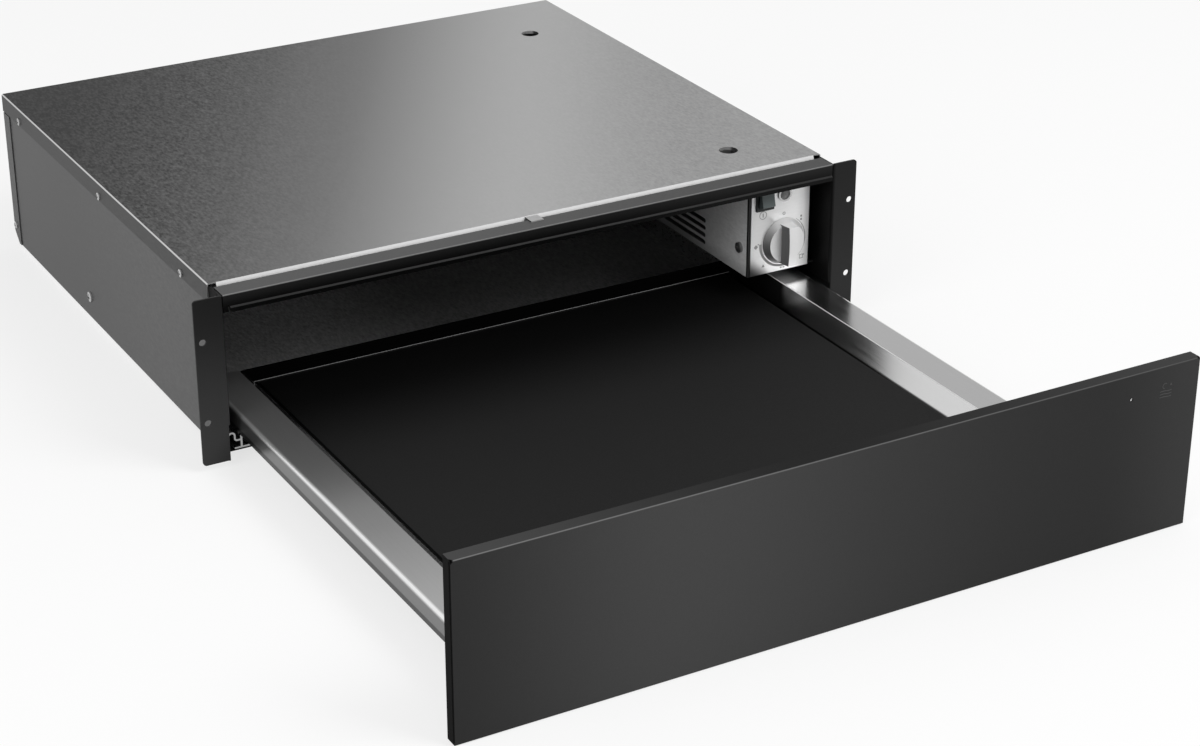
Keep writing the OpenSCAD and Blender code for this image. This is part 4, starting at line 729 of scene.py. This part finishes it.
# Centres of the plate's marks, or the middles of their feet, in mm along X and Z
POWER_MARK = (216.4, 95.7)
OFF_MARK = (237.1, 93.6)
UPPER_DOTS_MARK = (254.3, 86.5)
DIAMOND_MARK, DIAMOND_DOT = (210.0, 68.2), (212.3, 70.4)
PEAK_MARK = (217.7, 48.8)
LOWER_DOTS_MARK = (236.8, 44.9)
CUP_MARK, CUP_HANDLE = (255.4, 51.0), (257.9, 52.4)
DIAMOND_R = 2.1
DIAL_R, DIAL_WIDTHS = 21.2, (0.3, 2.7)
DIAL_START, DIAL_END = math.radians(55), math.radians(-182)


def print_dial():
    """The plate's marks: power, off, five settings and a ring that widens with the heat."""
    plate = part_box("control_plate")[0][1]
    knob_x, _, knob_z = centre("knob_shaft")
    dial = Print(plate)
    dial.arc(knob_x, knob_z, DIAL_R, DIAL_START, DIAL_END, DIAL_WIDTHS)
    dial.place("dial_ring", "casing", "black_plastic", moulded("dial_grey", grey(0.26), grey(0.32), 0.5))

    marks = Print(plate)
    marks.ring(*POWER_MARK, 3.1, 0.55)
    marks.block(*POWER_MARK, 0.8, 3.4)
    marks.ring(*OFF_MARK, 0.9, 0.5)
    x, z = UPPER_DOTS_MARK
    for rise in (-1.5, 1.5):
        marks.block(x, z + rise, 1.5, 1.7)
    x, z = DIAMOND_MARK
    marks.area([(x - DIAMOND_R, z), (x, z - DIAMOND_R), (x + DIAMOND_R, z), (x, z + DIAMOND_R)])
    marks.block(*DIAMOND_DOT, 1.1, 1.1)
    marks.peak(*PEAK_MARK, 3.0, 2.6)
    x, z = LOWER_DOTS_MARK
    for step in (-1.4, 1.4):
        marks.block(x + step, z, 1.6, 1.3)
    marks.band(rectangle(*CUP_MARK, 3.6, 3.8), rectangle(*CUP_MARK, 2.6, 2.8), closed=True)
    marks.block(*CUP_HANDLE, 1.0, 0.9)
    marks.place("dial_marks", "casing", "black_plastic", moulded("mark_grey", grey(0.24), grey(0.3), 0.5))


# The panel's sign, in mm along X and Z
HEAT_LINES_X, HEAT_LINES_Z = 267.8, (106.4, 108.7, 111.0)
DOME = (266.6, 115.0)
DOME_R, DOME_WIDTH = 1.7, 0.6
DOME_START, DOME_END = math.radians(40), math.radians(270)
DOME_PEAK = (272.0, 114.6)


def print_panel():
    """A plain sign for warmth near the panel's right edge: a dome over three heat lines."""
    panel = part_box("panel_skin")[0][1]
    sign = Print(panel)
    for level in HEAT_LINES_Z:
        sign.wave(HEAT_LINES_X, level, 10.5, 0.25, 0.7)
    sign.arc(*DOME, DOME_R, DOME_START, DOME_END, (DOME_WIDTH, DOME_WIDTH))
    sign.peak(*DOME_PEAK, 2.2, 2.0)
    ink = moulded("sign_grey", grey(0.05), grey(0.06), 0.45, 0.1)
    sign.place("panel_sign", "drawer", "white_plastic", ink)


print_dial()
print_panel()

# Studio
FLOOR_SIZE = 30.0
FLOOR_DROP = 0.0005
FLOOR_COLOUR = 0.92
FLOOR_ROUGH = 0.9
FLOOR_SHOWN = 0.72
WORLD_LIGHT, WORLD_SHOWN = 0.55, 1.0
# Lamps: place and size in metres, and power in watts
LAMPS = {
    "key": ((1.6, -2.4, 2.6), 1.8, 70),
    "fill": ((-2.6, -1.2, 1.8), 2.0, 25),
}
LAMP_TARGET = Vector((0, -0.2, 0.05))


def seen_directly(tree):
    """1 for rays of the camera, of reflections and through glass."""
    path = tree.nodes.new("ShaderNodeLightPath")
    result = path.outputs["Is Camera Ray"]
    for kind in ("Is Glossy Ray", "Is Transmission Ray"):
        node = tree.nodes.new("ShaderNodeMath")
        node.operation = "MAXIMUM"
        tree.links.new(result, node.inputs[0])
        tree.links.new(path.outputs[kind], node.inputs[1])
        result = node.outputs[0]
    return result


def mix_shaders(tree, factor, usual, shown, target):
    mix = tree.nodes.new("ShaderNodeMixShader")
    tree.links.new(factor, mix.inputs["Fac"])
    tree.links.new(usual.outputs[0], mix.inputs[1])
    tree.links.new(shown.outputs[0], mix.inputs[2])
    tree.links.new(mix.outputs[0], tree.nodes[target].inputs["Surface"])


def floor_material():
    """Pale floor, blended towards white for what the camera and reflections see of it."""
    material = bpy.data.materials.new("floor")
    material.use_nodes = True
    tree = material.node_tree
    shader = tree.nodes["Principled BSDF"]
    shader.inputs["Base Color"].default_value = (*grey(FLOOR_COLOUR), 1)
    shader.inputs["Roughness"].default_value = FLOOR_ROUGH
    shader.inputs["Specular IOR Level"].default_value = 0
    share = tree.nodes.new("ShaderNodeMath")
    share.operation = "MULTIPLY"
    share.inputs[1].default_value = FLOOR_SHOWN
    tree.links.new(seen_directly(tree), share.inputs[0])
    white = tree.nodes.new("ShaderNodeEmission")
    mix_shaders(tree, share.outputs[0], shader, white, "Material Output")
    return material


def make_floor():
    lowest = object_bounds()[0][2]
    mesh = bpy.data.meshes.new("floor")
    corners = [(x, y, lowest - FLOOR_DROP) for x, y in rectangle(0, 0, FLOOR_SIZE, FLOOR_SIZE)]
    mesh.from_pydata(corners, [], [range(len(corners))])
    mesh.materials.append(floor_material())
    floor = added("floor", mesh)


def make_world():
    world = bpy.data.worlds.new("studio")
    bpy.context.scene.world = world
    world.use_nodes = True
    tree = world.node_tree
    usual, shown = tree.nodes["Background"], tree.nodes.new("ShaderNodeBackground")
    for background, strength in ((usual, WORLD_LIGHT), (shown, WORLD_SHOWN)):
        background.inputs["Color"].default_value = (*grey(1.0), 1)
        background.inputs["Strength"].default_value = strength
    mix_shaders(tree, seen_directly(tree), usual, shown, "World Output")


def make_lamp(name, place, size, power):
    lamp = bpy.data.lights.new(name, "AREA")
    lamp.shape = "SQUARE"
    lamp.size = size
    lamp.energy = power
    place = Vector(place)
    turn = (place - LAMP_TARGET).to_track_quat("Z", "Y").to_matrix().to_4x4()
    added(name, lamp).matrix_world = Matrix.Translation(place) @ turn


make_floor()
make_world()
for lamp_name, settings in LAMPS.items():
    make_lamp(lamp_name, *settings)

bpy.context.scene.view_settings.view_transform = "Standard"
